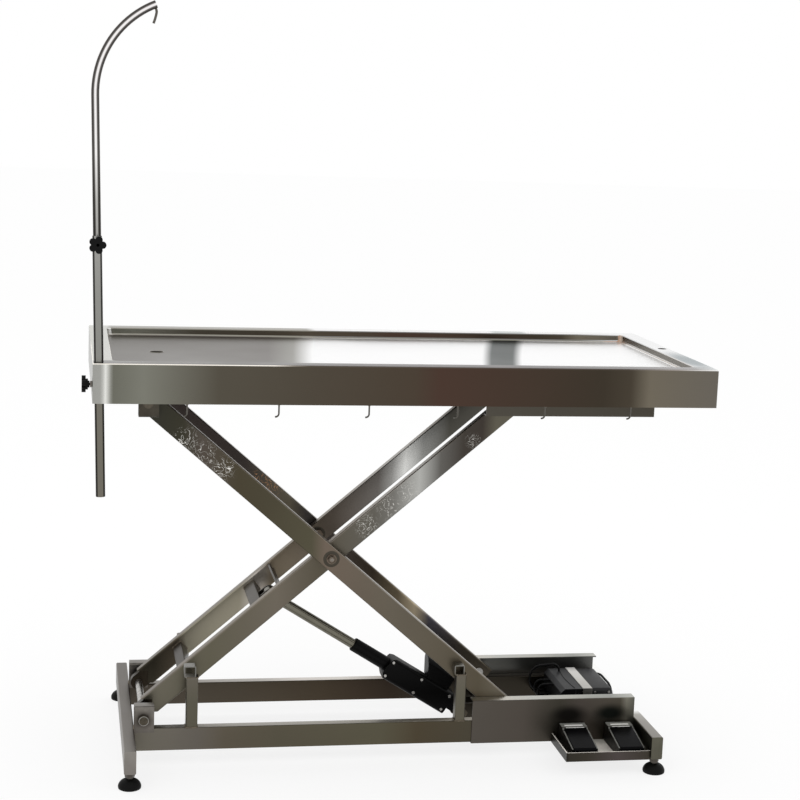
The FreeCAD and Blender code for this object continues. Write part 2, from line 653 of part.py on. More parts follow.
def bent_wire(name, radius, points):
    """A round wire or cable: straight runs through the points, with an arc of its own at each corner."""
    path = []
    bends = []
    last = points[0]
    final = len(points) - 2
    for index, (before, corner, after) in enumerate(zip(points, points[1:], points[2:]), 1):
        back = before - corner
        ahead = after - corner
        setback = min(back.Length * (END_SHARE if index == 1 else MIDDLE_SHARE),
                      ahead.Length * (END_SHARE if index == final else MIDDLE_SHARE))
        back.normalize()
        ahead.normalize()
        half_turn = (PI - back.getAngle(ahead)) / 2 * QUARTER * 2 / PI
        bend = setback / number(f"tan({half_turn})")
        start = corner + back * setback
        end = corner + ahead * setback
        inward = (back + ahead).normalize()
        middle = corner + inward * (bend / number(f"cos({half_turn})") - bend)
        path += [Part.LineSegment(last, start).toShape(), Part.Arc(start, middle, end).toShape()]
        bends.append(bend)
        last = end
    path.append(Part.LineSegment(last, points[-1]).toShape())
    wire = Part.Wire(path)
    section = Part.Wire([Part.Circle(points[0], points[1] - points[0], radius).toShape()])
    piece = doc.addObject("Part::Feature", name)
    piece.Shape = wire.makePipeShell([section], True, False)
    print(f"{name}: smallest bend {min(bends):.1f} mm on a {2 * radius:.1f} mm line")
    return piece


def make_cables():
    """Spare cable in two loops and an arch at the case's left, and a lead along the cover's right."""
    pieces = []
    low = "shelf_top + loop_low"
    for name, y in (("rear_loop", "loop_one_y"), ("front_loop", "loop_two_y")):
        out = "box_left - loop_reach"
        pieces.append(bent_wire(name, number("loop_radius"), [
            point("box_left", y, low), point(out, y, low), point(out, y, f"{low} + loop_rise"),
            point("box_left", y, f"{low} + loop_rise")]))
    high = "box_top + arch_rise"
    out = "box_left - arch_reach"
    pieces.append(bent_wire("arch_lead", number("loop_radius"), [
        point("box_left + arch_start", "arch_y", "box_top"),
        point("box_left + arch_start", "arch_y", high),
        point(out, "arch_y", f"{high} - arch_drop"), point(out, "arch_y", low),
        point("box_left", "arch_y", low)]))
    side = "box_right + bow_reach"
    foot = "box_right + 0.7 * bow_reach"
    height = "box_top - bow_low"
    pieces.append(bent_wire("side_lead", number("lead_radius"), [
        point("box_right", "box_back - bow_end", height), point(side, "box_back - bow_end", height),
        point(side, "bow_turn_y", height), point(foot, "bow_foot_y", f"shelf_top + {BOW_FOOT_RISE}"),
        point(foot, "bow_foot_y", "shelf_top")]))
    group("control_cables", *pieces)


# ---------------------------------------------------------------- feet

def make_feet():
    """Four levelling feet: a domed pad with a threaded stud that screws into the cross bar."""
    for end, x_sign in (("left", "-1"), ("right", "1")):
        for side, y_sign in SIDES:
            name = f"{end}_{side}_foot"
            pad_piece = turned(name + "_pad", [
                (0, 0), ("pad_radius - 1", 0), ("pad_radius", "pad_rim / 2"),
                ("pad_radius * 0.9", "pad_rim"), ("pad_radius * 0.6", "pad_height * 0.8"),
                ("stud_radius * 1.4", "pad_height"), (0, "pad_height")])
            spot = (f"{x_sign} * foot_x", f"{y_sign} * foot_y", 0)
            place(pad_piece, *spot)
            stud = cylinder(name + "_stud", "Z", "stud_radius", "stud_top - pad_height",
                            spot[0], spot[1], "pad_height")
            group(name, pad_piece, stud)


# ---------------------------------------------------------------- arms

def along(dx, dz):
    """Distance along the inner arm of a point that is level (dx, dz) from its lower pivot."""
    return f"(({dx}) * cos(rest_angle) + ({dz}) * sin(rest_angle))"


def over(dx, dz):
    """Height above the inner arm's centre line of the same point."""
    return f"(({dz}) * cos(rest_angle) - ({dx}) * sin(rest_angle))"


def on_edge(dx, dz, sign):
    """Along the arm: where a level or upright line through (dx, dz) meets the arm's edge."""
    if dx is None:
        dx = f"(({dz}) * cos(rest_angle) - {sign} * arm_depth / 2) / sin(rest_angle)"
    else:
        dz = f"({sign} * arm_depth / 2 + ({dx}) * sin(rest_angle)) / cos(rest_angle)"
    return (along(dx, dz), f"{sign} * arm_depth / 2")


def inner_arm_outline():
    """Side view of an inner arm tube: notched below, and short of the tray's underside above."""
    low, high = "-notch_low", "notch_high"
    return [
        on_edge(None, low, "-1"),
        ("arm_span - arm_setback", "-arm_depth / 2"),
        ("arm_span - arm_setback", "arm_depth / 2"),
        on_edge(None, high, "1"),
        (along("notch_x", high), over("notch_x", high)),
        (along("notch_x", low), over("notch_x", low)),
    ]


def outer_arm_outline():
    """Side view of an outer arm tube: its upper end stops short of the tray's underside."""
    return [
        ("arm_setback", "-arm_depth / 2"), ("arm_span + arm_end", "-arm_depth / 2"),
        ("arm_span + arm_end", "arm_depth / 2"), ("arm_setback", "arm_depth / 2"),
    ]


def make_arm(name, outline, turn, x, y, z, *bores):
    """A rectangular tube cut to its side view, with the bore for its centre boss and any others."""
    body = extruded(name, "XZ", "arm_thickness", outline)
    fillet(body, "arm_corner", long_edge)
    inside = rectangle("-arm_span", "2 * arm_span", "-arm_depth / 2 + arm_wall",
                       "arm_depth / 2 - arm_wall")
    pocket(body, sketch_on(body, "XZ", inside), "arm_thickness - 2 * arm_wall")
    for bore in (("half_span", 0, "block_radius"), *bores):
        pocket(body, sketch_on(body, "XZ", bore), "2 * arm_thickness")
    return node(name, place(body, x, y, z, turn, "rest_angle"))


def long_edge(edge, shape):
    """Picks the four long outer edges of an arm tube."""
    return (edge.Curve.TypeId == "Part::GeomLine"
            and abs(edge.Curve.Direction.x) > 1 - SMALL
            and edge.Length > shape.BoundBox.XLength / 2)


def make_arm_blocks(pair, turn, x, z, arm_y, left_bore, right_bore):
    """End blocks and centre bosses of both arms of a pair, placed along each arm."""
    blocks = []
    inside = "(arm_thickness - 2 * arm_wall)"
    for side, sign in SIDES:
        for end, at, reach, bore in (("left", "0", "block_length", left_bore),
                                     ("right", "arm_span", "-block_length", right_bore)):
            name = f"{pair}_{side}_{end}_block"
            body = new_body(name)
            bar = [(at, "-block_radius"), (f"{at} + {reach}", "-block_radius"),
                   (f"{at} + {reach}", "block_radius"), (at, "block_radius")]
            pad(body, sketch_on(body, "XZ", bar), inside)
            pad(body, sketch_on(body, "XZ", (at, 0, "block_radius")), inside)
            pocket(body, sketch_on(body, "XZ", (at, 0, bore)), f"2 * {inside}")
            blocks.append(place(body, x, f"{sign} * {arm_y}", z, turn, "rest_angle"))
        boss = extruded(f"{pair}_{side}_centre_boss", "XZ", "arm_thickness",
                        ("half_span", 0, "block_radius"),
                        ("half_span", 0, "pivot_radius" if pair == "outer" else
                         "pivot_radius + pivot_play"))
        blocks.append(place(boss, x, f"{sign} * {arm_y}", z, turn, "rest_angle"))
    group(pair + "_arm_blocks", *blocks)


def make_inner_arms():
    spot = ("base_pivot_x", "base_pivot_z")
    for side, sign in SIDES:
        make_arm(f"inner_{side}_arm", inner_arm_outline(), -Y, spot[0], f"{sign} * inner_arm_y", spot[1])
    make_arm_blocks("inner", -Y, spot[0], spot[1], "inner_arm_y", "pivot_radius + pivot_play",
                    "axle_radius")
    members = []
    for name, at, size in (("lower_cross", "lower_cross_at", "lower_cross_size"),
                           ("upper_cross", "upper_cross_at", "upper_cross_size")):
        bar = tube(name, "Y", "2 * inner_arm_back", size, size, "tube_wall")
        on_inner_arm(bar, at, "0")
        members.append(bar)
    sheet = plate("cross_plate", "X", "plate_sheet", "2 * inner_arm_back", "plate_high + plate_low")
    on_inner_arm(sheet, "plate_at", "(plate_high - plate_low) / 2")
    members.append(sheet)
    group("inner_cross_members", *members)


def on_inner_arm(piece, distance, height):
    """Places a piece at a distance along the inner arms and a height over their centre line."""
    place(piece,
          f"base_pivot_x + {distance} * cos(rest_angle) - {height} * sin(rest_angle)", 0,
          f"base_pivot_z + {distance} * sin(rest_angle) + {height} * cos(rest_angle)",
          -Y, "rest_angle")


def make_rod_lugs():
    """Two lugs from the upper cross tube to the push rod's pin, and the pin with its heads."""
    pieces = []
    start = "upper_cross_at + upper_cross_size / 2"
    for side, sign in SIDES:
        body = new_body(side + "_rod_lug")
        bar = rectangle(start, "rod_pin_along", "-rod_pin_drop - rod_lug_radius",
                        "-rod_pin_drop + rod_lug_radius")
        pad(body, sketch_on(body, "XZ", bar), "rod_lug_sheet")
        pad(body, sketch_on(body, "XZ", ("rod_pin_along", "-rod_pin_drop", "rod_lug_radius")),
            "rod_lug_sheet")
        pocket(body, sketch_on(body, "XZ", ("rod_pin_along", "-rod_pin_drop", "rod_pin_radius")),
               "2 * rod_lug_sheet")
        middle = "(rod_eye_width / 2 + lug_play + rod_lug_sheet / 2)"
        pieces.append(place(body, "base_pivot_x", f"{sign} * {middle}", "base_pivot_z", -Y,
                            "rest_angle"))
    face = "(rod_eye_width / 2 + lug_play + rod_lug_sheet)"
    shank = cylinder("rod_pin_shank", "Y", "rod_pin_radius", f"2 * {face}", "rod_pin_x", f"-{face}",
                     "rod_pin_z")
    heads = [hexagon(side + "_rod_pin_head", "Y" if sign == "1" else "-Y", "bolt_head_radius",
                     "bolt_head_height", "rod_pin_x", f"{sign} * {face}", "rod_pin_z")
             for side, sign in SIDES]
    group("rod_lugs", *pieces, fused("rod_pin", shank, *heads))


def make_outer_arms():
    for side, sign in SIDES:
        make_arm(f"outer_{side}_arm", outer_arm_outline(), Y, "base_pivot_x",
                 f"{sign} * outer_arm_y", "top_pivot_z", ("arm_span", 0, "axle_radius"))
    make_arm_blocks("outer", Y, "base_pivot_x", "top_pivot_z", "outer_arm_y",
                    "pivot_radius + pivot_play", "axle_radius")
    bolts = []
    for side, sign in SIDES:
        axis = "Y" if sign == "1" else "-Y"
        name = side + "_centre_bolt"
        shank = cylinder(name + "_shank", axis, "pivot_radius",
                         "outer_arm_face - inner_arm_back + side_play", "centre_x",
                         f"{sign} * (inner_arm_back - side_play)", "centre_z")
        nut = hexagon(name + "_nut", axis, "pivot_radius * 1.6", "bolt_head_height", "centre_x",
                      f"{sign} * (inner_arm_back - side_play - bolt_head_height)", "centre_z")
        spacer = cylinder(name + "_spacer", axis, "block_radius * 0.7", "arm_gap - side_play",
                          "centre_x", f"{sign} * (inner_arm_face + side_play)", "centre_z")
        bolts.append(fused(name, shank, nut, spacer,
                           pivot_bolt(name + "_end", sign, "centre_x", "centre_z", "outer_arm_face")))
    group("centre_bolts", *bolts)


# ---------------------------------------------------------------- rollers

def axle_outline(inner_end, collar_end, outer_end):
    """Half section of a stub axle: head, shank through the arm, collar, roller seat and retainer."""
    return [
        (0, f"{inner_end} - bolt_head_height / 2"),
        ("axle_collar", f"{inner_end} - bolt_head_height / 2"), ("axle_collar", inner_end),
        ("axle_radius", inner_end), ("axle_radius", f"{inner_end} + arm_thickness"),
        ("axle_collar", f"{inner_end} + arm_thickness"), ("axle_collar", collar_end),
        ("axle_radius", collar_end), ("axle_radius", outer_end), ("axle_collar", outer_end),
        ("axle_collar", f"{outer_end} + retainer"), (0, f"{outer_end} + retainer"),
    ]


def make_rollers_and_axles():
    for pair, x, z, inner, roller_y in (
            ("lower", "roller_x", "base_pivot_z", "outer_arm_face - arm_thickness", "lower_roller_y"),
            ("upper", "roller_x", "top_pivot_z", "inner_arm_back", "upper_roller_y")):
        axles = []
        for side, sign in SIDES:
            axis = "Y" if sign == "1" else "-Y"
            axle = turned(f"{pair}_{side}_axle", axle_outline(
                f"({inner})", f"({roller_y} - roller_width / 2 - side_play)",
                f"({roller_y} + roller_width / 2 + side_play)"))
            axles.append(stand(axle, axis, x, 0, z))
            name = f"{pair}_{side}_roller"
            bore = "axle_radius + pivot_play"
            wheel = turned(name, [
                (bore, "-roller_width / 2"), ("roller_radius - 1", "-roller_width / 2"),
                ("roller_radius", "-roller_width / 2 + 1"), ("roller_radius", "roller_width / 2 - 1"),
                ("roller_radius - 1", "roller_width / 2"), (bore, "roller_width / 2")])
            node(name, stand(wheel, axis, x, f"{sign} * {roller_y}", z))
        group(pair + "_roller_axles", *axles)


# ---------------------------------------------------------------- actuator

def on_actuator(piece, y=0):
    """Places a piece that is drawn along the actuator: +X runs from the rod's pin to the rear pin."""
    return place(piece, "rod_pin_x", y, "rod_pin_z", Y, "actuator_angle")


def make_actuator():
    rod = doc.addObject("Part::Cylinder", "push_rod")
    bind(rod, "Radius", "rod_radius")
    bind(rod, "Height", "rod_length - rod_eye_radius * 0.8")
    place(rod, "rod_pin_x + rod_eye_radius * 0.8 * cos(actuator_angle)", 0,
          "rod_pin_z - rod_eye_radius * 0.8 * sin(actuator_angle)", Y, "actuator_angle + 90")
    eye = extruded("push_rod_eye", "XZ", "rod_eye_width",
                   (0, 0, "rod_eye_radius"), (0, 0, "rod_pin_radius + pivot_play"))
    on_actuator(eye)
    pin_space = cylinder("push_rod_bore", "Y", "rod_pin_radius + pivot_play", "rod_eye_width",
                         "rod_pin_x", "-rod_eye_width / 2", "rod_pin_z")
    node("push_rod", cut("push_rod_cut", fused("push_rod_fused", rod, eye), pin_space))

    sleeve = turned("actuator_sleeve", [
        ("rod_radius + rod_play", "sleeve_start"), ("sleeve_radius - 1", "sleeve_start"),
        ("sleeve_radius", "sleeve_start + 1"), ("sleeve_radius", "sleeve_start + sleeve_length"),
        ("rod_radius + rod_play", "sleeve_start + sleeve_length")])
    place(sleeve, "rod_pin_x", 0, "rod_pin_z", Y, "actuator_angle + 90")
    node("actuator_sleeve", sleeve)

    box = extruded("gearbox", "XZ", "gearbox_width", [
        ("gearbox_start + gearbox_corner", "gearbox_top - gearbox_corner / 2"),
        ("gearbox_start + 2 * gearbox_corner", "gearbox_top"),
        ("gearbox_start + gearbox_length", "gearbox_top"),
        ("gearbox_start + gearbox_length", "-gearbox_drop"),
        ("gearbox_start + 1.5 * gearbox_corner", "-gearbox_drop"),
        ("gearbox_start + gearbox_corner / 2", "-gearbox_drop * 0.6"),
        ("gearbox_start + gearbox_corner / 2", 0)])
    fillet(box, "gearbox_corner", long_edge)
    bore = sketch_on(box, "YZ", (0, 0, "sleeve_radius"))
    shift(bore, "gearbox_start")
    pocket(box, bore, "2 * (sleeve_start + sleeve_length - gearbox_start)")
    deep = sketch_on(box, "YZ", (0, 0, "rod_radius + 4 * rod_play"))
    shift(deep, "gearbox_start")
    pocket(box, deep, "2 * (gearbox_length - rod_eye_radius / 2)")
    node("gear_housing", on_actuator(box))

    motor = extruded("motor_housing", "XZ", "motor_width", [
        ("motor_start + motor_slant", "gearbox_top"), ("motor_start + motor_length", "gearbox_top"),
        ("motor_start + motor_length", "motor_top"), ("motor_start", "motor_top")])
    fillet(motor, "motor_corner", lambda edge, shape: outer_corner("X")(edge, shape)
           and edge.CenterOfMass.z > number("motor_top") - SMALL)
    node("motor_housing", on_actuator(motor))

    end = "actuator_length"
    neck_start = "gearbox_start + gearbox_length"
    body = new_body("rear_eye")
    pad(body, sketch_on(body, "XZ", rectangle(neck_start, end, "-rear_eye_radius", "rear_eye_radius")),
        "rear_eye_width")
    pad(body, sketch_on(body, "XZ", (end, 0, "rear_eye_radius")), "rear_eye_width")
    pocket(body, sketch_on(body, "XZ", (end, 0, "bolt_radius")), "2 * rear_eye_width")
    node("rear_eye", on_actuator(body))


# ---------------------------------------------------------------- tray

def make_tray_top():
    """The pressed tray: rim, basin and apron are one sheet of even thickness, with a hem below."""
    body = extruded("tray_top", "XY", "apron_height", centred_rectangle("tray_length", "tray_width"))
    fillet(body, "2 * tray_sheet", outer_corner("Z"))
    basin = sketch_on(body, "XY", centred_rectangle("tray_length - 2 * rim_width",
                                                    "tray_width - 2 * rim_width"))
    shift(basin, "apron_height / 2")
    pocket(body, basin, "2 * basin_depth")
    fillet(body, "basin_corner", basin_upright)
    fillet(body, "basin_fillet", basin_floor)
    fillet(body, "rim_edge", top_face_edge)
    shell = body.newObject("PartDesign::Thickness", "tray_shell")
    solid = [item for item in body.Group if item.TypeId == "PartDesign::Fillet"][-1]
    faces = [f"Face{i}" for i, face in enumerate(solid.Shape.Faces, 1)
             if face.CenterOfMass.z < solid.Shape.BoundBox.ZMin + SMALL]
    shell.Base = (solid, faces)
    bind(shell, "Value", "tray_sheet")
    shell.Reversed = True
    shell.Mode = 0
    shell.Join = 0
    doc.recompute()
    hem = sketch_on(body, "XY",
                    centred_rectangle("tray_length - tray_sheet", "tray_width - tray_sheet"),
                    centred_rectangle("tray_length - 2 * hem_width", "tray_width - 2 * hem_width"))
    shift(hem, "-apron_height / 2 + tray_sheet / 2")
    pad(body, hem, "tray_sheet")
    holes = sketch_on(
        body, "XY",
        ("drain_x", 0, "drain_radius"),
        ("tray_length / 2 - spare_hole_from_end", "spare_hole_side", "spare_hole_radius"),
        ("-pole_x", "-pole_y", "lower_pole_radius + pole_hole_play"))
    shift(holes, "apron_height / 2")
    pocket(body, holes, "2 * (basin_depth + 2 * tray_sheet)")
    notch = sketch_on(body, "XY", ("-pole_x + apron_height * sin(pole_lean)", "-pole_y", "hem_notch"))
    shift(notch, "-apron_height / 2")
    pocket(body, notch, "4 * tray_sheet")
    screw_hole = sketch_on(body, "YZ", (
        "-pole_y", "apron_height / 2 - knob_drop", "knob_screw_radius + knob_screw_play"))
    shift(screw_hole, "-tray_length / 2")
    pocket(body, screw_hole, "4 * tray_sheet")
    node("tray_top", place(body, 0, 0, "tray_top - apron_height / 2"))


def basin_upright(edge, shape):
    """Picks the four upright edges in the corners of the basin."""
    return (edge.Curve.TypeId == "Part::GeomLine"
            and abs(edge.Curve.Direction.z) > 1 - SMALL
            and edge.CenterOfMass.z > 0
            and abs(edge.Length - number("basin_depth")) < SMALL)


def basin_floor(edge, shape):
    """Picks the edges round the basin's floor."""
    floor = shape.BoundBox.ZMax - number("basin_depth")
    box = edge.BoundBox
    return abs(box.ZMin - floor) < SMALL and abs(box.ZMax - floor) < SMALL


def top_face_edge(edge, shape):
    """Picks the edges round the rim's flat top."""
    box = edge.BoundBox
    return abs(box.ZMin - shape.BoundBox.ZMax) < SMALL and abs(box.ZMax - shape.BoundBox.ZMax) < SMALL


def make_drain_spout():
    outer = "drain_radius + spout_wall"
    spout = turned("drain_spout", [
        ("drain_radius", 0), (f"{outer} + spout_flange", 0),
        (f"{outer} + spout_flange", "-spout_flange_sheet"), (outer, "-spout_flange_sheet"),
        (outer, "-spout_length"), ("drain_radius", "-spout_length")])
    node("drain_spout", place(spout, "drain_x", 0, "floor_under"))


def make_subframe():
    """Tubes under the tray's floor: two along it and four across between them."""
    rails = []
    middle_z = "subframe_bottom + subframe_height / 2"
    for side, sign in SIDES:
        rail = tube(side + "_tray_rail", "X", "2 * subframe_reach", "rail_width", "subframe_height",
                    "tube_wall")
        rails.append(place(rail, 0, f"{sign} * rail_y", middle_z))
    for index in (1, 2, 3, 4):
        rail = tube(f"tray_cross_rail_{index}", "Y", "2 * rail_inner", "rail_width",
                    "subframe_height", "tube_wall")
        rails.append(place(rail, f"cross_rail_{index}", 0, middle_z))
    group("tray_subframe", *rails)


def make_tray_channels():
    """The channels that the upper rollers run in, under the right half of the subframe."""
    channels = []
    low = "top_pivot_z - roller_radius - roller_clearance - 2 * channel_sheet - roller_gap / 2"
    high = "subframe_bottom"
    inner = "(inner_arm_face + upper_gap / 2)"
    web = "(upper_web + channel_sheet)"
    for side, sign in SIDES:
        corners = [
            (inner, low), (web, low), (web, high), (inner, high),
            (inner, f"{high} - channel_sheet"), ("upper_web", f"{high} - channel_sheet"),
            ("upper_web", f"{low} + channel_sheet"), (inner, f"{low} + channel_sheet")]
        body = extruded(side + "_tray_channel", "YZ", "crossbar_inner - channel_start + roller_width / 2",
                        [(f"{sign} * {across}", height) for across, height in corners])
        channels.append(place(body, "(crossbar_inner + channel_start + roller_width * 1.5) / 2"))
    group("tray_channels", *channels)


def make_tray_pivot():
    brackets = []
    bolts = []
    for side, sign in SIDES:
        bracket = u_bracket(side + "_tray_bracket", "rail_width - 2 * bracket_sheet",
                            "-(subframe_bottom - top_pivot_z)", "bracket_rise", "0")
        place(bracket, "-crossbar_inner + bracket_width / 2", f"{sign} * rail_y", "top_pivot_z", X,
              2 * QUARTER)
        brackets.append(bracket)
        bolts.append(pivot_bolt(side + "_tray_bolt", sign, "base_pivot_x", "top_pivot_z",
                                "rail_outer"))
    group("tray_brackets", *brackets)
    node("tray_pivot_shaft", cylinder("tray_pivot_shaft", "Y", "pivot_radius", "2 * rail_outer",
                                      "base_pivot_x", "-rail_outer", "top_pivot_z"))
    group("tray_pivot_bolts", *bolts)


def make_tie_hooks():
    """Wire hooks welded on the hem, six along each side, with their toes turned to the left."""
    hooks = []
    low = "apron_bottom - hook_drop + hook_wire"
    for side, sign in SIDES:
        y = f"{sign} * (tray_width / 2 - hook_inset)"
        for step in (-5, -3, -1, 1, 3, 5):
            x = f"{step} * hook_spacing / 2"
            toe = f"{x} - hook_toe - hook_wire"
            hooks.append(bent_wire(f"{side}_hook_{(step + 7) // 2}", number("hook_wire"), [
                point(x, y, "apron_bottom"), point(x, y, low), point(toe, y, low)]))
    group("tie_hooks", *hooks)


def make_pole_guide():
    """A bent strip in the tray's front left corner: two legs with the pole's holes, and a web."""
    left = "-tray_length / 2 + tray_sheet"
    right = "-pole_x + guide_reach / 2"
    low = "apron_bottom + hem_width / 3"
    high = f"({low} + guide_height)"
    body = extruded("pole_guide_strip", "XZ", "guide_width", [
        (left, low), (right, low), (right, high), (left, high), (left, f"{high} - guide_sheet"),
        (f"{right} - guide_sheet", f"{high} - guide_sheet"), (f"{right} - guide_sheet",
                                                             f"{low} + guide_sheet"),
        (left, f"{low} + guide_sheet")])
    place(body, 0, "-pole_y", 0)
    hole = cylinder("pole_guide_hole", "Z", "lower_pole_radius + guide_play", "tray_top - apron_height / 2",
                    0, 0, 0)
    on_pole(hole, "-(tray_top - apron_height / 2) / 2 - apron_height / 2")
    strip = cut("pole_guide_cut", body, hole)
    nut = hexagon("tray_knob_nut_hex", "-X", "knob_nut_radius", "knob_nut_height",
                  "-tray_length / 2", "-pole_y", "tray_top - knob_drop")
    bore = cylinder("tray_knob_nut_bore", "-X", "knob_screw_radius + knob_screw_play",
                    "knob_nut_height", "-tray_length / 2", "-pole_y", "tray_top - knob_drop")
    group("pole_guide", strip, cut("tray_knob_nut", nut, bore))


# ---------------------------------------------------------------- pole

def on_pole(piece, height):
    """Places a piece on the pole's leaning axis, by its height over the tray's rim."""
    return place(piece, f"-pole_x - ({height}) * sin(pole_lean)", "-pole_y",
                 f"tray_top + ({height}) * cos(pole_lean)", -Y, "pole_lean")


def make_lower_pole():
    inner = "lower_pole_radius - lower_pole_wall"
    pole = turned("lower_pole_tube", [
        (inner, "-lower_pole_foot"), ("lower_pole_radius", "-lower_pole_foot"),
        ("lower_pole_radius", "lower_pole_head"), (inner, "lower_pole_head")])
    screw_hole = sketch_on(pole, "XZ", (0, "collar_z", "knob_screw_radius + knob_screw_play"))
    shift(screw_hole, "lower_pole_radius")
    pocket(pole, screw_hole, "lower_pole_radius")
    on_pole(pole, "0")
    nut = new_body("pole_nut")
    pad(nut, sketch_on(nut, "XZ", (0, "collar_z", "knob_nut_radius"),
                       (0, "collar_z", "knob_screw_radius + knob_screw_play")), "knob_nut_height")
    on_pole(nut, "0")
    bind(nut, "Placement.Base.y", "-pole_y - lower_pole_radius - knob_nut_height / 2")
    group("lower_pole", pole, nut)


def make_upper_pole():
    """The upper tube: straight in the lower tube, then bent over the tray in one long arc."""
    body = new_body("upper_pole")
    start = "upper_pole_foot"
    top = "upper_pole_straight"
    section = sketch_on(body, "XY", (0, 0, "upper_pole_radius"),
                        (0, 0, "upper_pole_radius - upper_pole_wall"))
    shift(section, start)
    path = body.newObject("Sketcher::SketchObject", "upper_pole_path")
    support = [item for item in body.Origin.OriginFeatures if item.Role == "XZ_Plane"]
    path.AttachmentSupport = [(support[0], "")]
    path.MapMode = "FlatFace"
    low = FreeCAD.Vector(0, number(start), 0)
    bend_start = FreeCAD.Vector(0, number(top), 0)
    centre = FreeCAD.Vector(number("bend_radius"), number(top), 0)
    path.addGeometry(Part.LineSegment(low, bend_start))
    full = 2 * QUARTER
    arc = Part.ArcOfCircle(Part.Circle(centre, Z, number("bend_radius")),
                           (full - number("bend_sweep")) * PI / full, PI)
    path.addGeometry(arc)
    pin_point(path, 0, 1, 0, start)
    pin_point(path, 0, 2, 0, top)
    path.addConstraint(Sketcher.Constraint("Coincident", 0, 2, 1, 2))
    pin_point(path, 1, 3, "bend_radius", top)
    reach = "bend_radius - bend_radius * cos(bend_sweep)"
    index = path.addConstraint(Sketcher.Constraint("DistanceX", -1, 1, 1, 1, number(reach)))
    bind(path, f"Constraints[{index}]", reach)
    pipe = body.newObject("PartDesign::AdditivePipe", "upper_pole_pipe")
    pipe.Profile = section
    pipe.Spine = path
    doc.recompute()
    node("upper_pole", on_pole(body, "0"))


def make_pole_hook():
    """The wire hook under the upper tube's free end."""
    tip_x = "(bend_radius - bend_radius * cos(bend_sweep))"
    tip_z = "(upper_pole_straight + bend_radius * sin(bend_sweep))"
    back = "1.6 * pole_hook_radius"

    def below(depth):
        """A point under the tube near its end, at a distance from its centre line."""
        return (f"({tip_x} - {back} * sin(bend_sweep) + {depth} * cos(bend_sweep))",
                f"({tip_z} - {back} * cos(bend_sweep) - {depth} * sin(bend_sweep))")

    weld_x, weld_z = below("(upper_pole_radius + pole_hook_seat)")
    neck_x, neck_z = below("(upper_pole_radius + 2 * pole_hook_radius)")
    lean = FreeCAD.Rotation(-Y, number("pole_lean"))
    foot = point("-pole_x", "-pole_y", "tray_top")
    local = [point(weld_x, 0, weld_z), point(neck_x, 0, neck_z),
             point(f"{weld_x} - pole_hook_toe / 5", 0, f"{weld_z} - pole_hook_drop * 0.6"),
             point(f"{weld_x} - pole_hook_toe", 0, f"{weld_z} - pole_hook_drop")]
    points = [foot + lean.multVec(spot) for spot in local]
    node("pole_hook", bent_wire("pole_hook", number("pole_hook_radius"), points))


def make_knob(name):
    """A star knob about +Z: five lobes round the top of a hub, and a neck below it."""
    body = new_body(name + "_head")
    start = "knob_outer"
    hub = sketch_on(body, "XY", (0, 0, "knob_hub_radius"))
    shift(hub, f"{start} + knob_thick / 2")
    pad(body, hub, "knob_thick")
    lobe = sketch_on(body, "XY", ("knob_lobe_ring", 0, "knob_lobe_radius"))
    shift(lobe, f"{start} + knob_thick - knob_lobe_thick / 2")
    lobe_pad = pad(body, lobe, "knob_lobe_thick")
    ring = body.newObject("PartDesign::PolarPattern", name + "_lobes")
    ring.Originals = [lobe_pad]
    ring.Axis = (hub, ["N_Axis"])
    ring.Angle = FULL_TURN
    ring.Occurrences = 5
    body.Tip = ring
    doc.recompute()
    neck = sketch_on(body, "XY", (0, 0, "knob_neck_radius"))
    shift(neck, f"{start} - knob_neck / 2")
    pad(body, neck, "knob_neck")
    seat = sketch_on(body, "XY", (0, 0, "knob_screw_radius"))
    shift(seat, f"{start}")
    pocket(body, seat, "knob_thick + 2 * knob_neck")
    return body


def make_knobs():
    screw_end = "(knob_outer + knob_thick / 2)"
    head = make_knob("tray_knob")
    stand(head, "-X", "-tray_length / 2", "-pole_y", "tray_top - knob_drop")
    tip = "(pole_x - knob_drop * sin(pole_lean) + lower_pole_radius + side_play)"
    reach = f"(tray_length / 2 - {tip})"
    screw = cylinder("tray_knob_screw", "-X", "knob_screw_radius", f"{screw_end} + {reach}",
                     f"-{tip}", "-pole_y", "tray_top - knob_drop")
    group("tray_knob", head, screw)
    head = make_knob("pole_knob")
    face = "lower_pole_radius"
    x = "-pole_x - collar_z * sin(pole_lean)"
    z = "tray_top + collar_z * cos(pole_lean)"
    stand(head, "-Y", x, f"-pole_y - {face}", z)
    inner = "(upper_pole_radius + side_play)"
    screw = cylinder("pole_knob_screw", "-Y", "knob_screw_radius", f"{screw_end} + {face} - {inner}",
                     x, f"-pole_y - {inner}", z)
    group("pole_knob", head, screw)


# ---------------------------------------------------------------- checks and export

def check_all():
    doc.recompute()
    for thing in doc.Objects:
        if "Invalid" in thing.State or "Error" in thing.State:
            raise RuntimeError(f"{thing.Label} did not compute: {thing.State}")
    for name, thing in nodes.items():
        shape = thing.Shape
        if shape.isNull() or not shape.isValid() or not shape.Solids:
            raise RuntimeError(f"{name} has no valid solid")


def export_all():
    os.makedirs("parts", exist_ok=True)
    for name, thing in nodes.items():
        thing.Shape.exportStep(os.path.join("parts", name + ".step"))


fill_sheet()
make_crossbars()
make_rails()
make_roller_channels()
make_uprights()
make_base_fasteners(make_base_pivot())
make_actuator_mount()
make_pedal_tray()
make_pedals()
make_control_box()
make_cables()
make_feet()
make_inner_arms()
make_rod_lugs()
make_outer_arms()
make_rollers_and_axles()
make_actuator()
make_tray_top()
make_drain_spout()
make_subframe()
make_tray_channels()
make_tray_pivot()
make_tie_hooks()
make_pole_guide()
make_lower_pole()
make_upper_pole()
make_pole_hook()
make_knobs()
check_all()
export_all()
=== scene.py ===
import json
import math

import bpy
from mathutils import Matrix, Vector


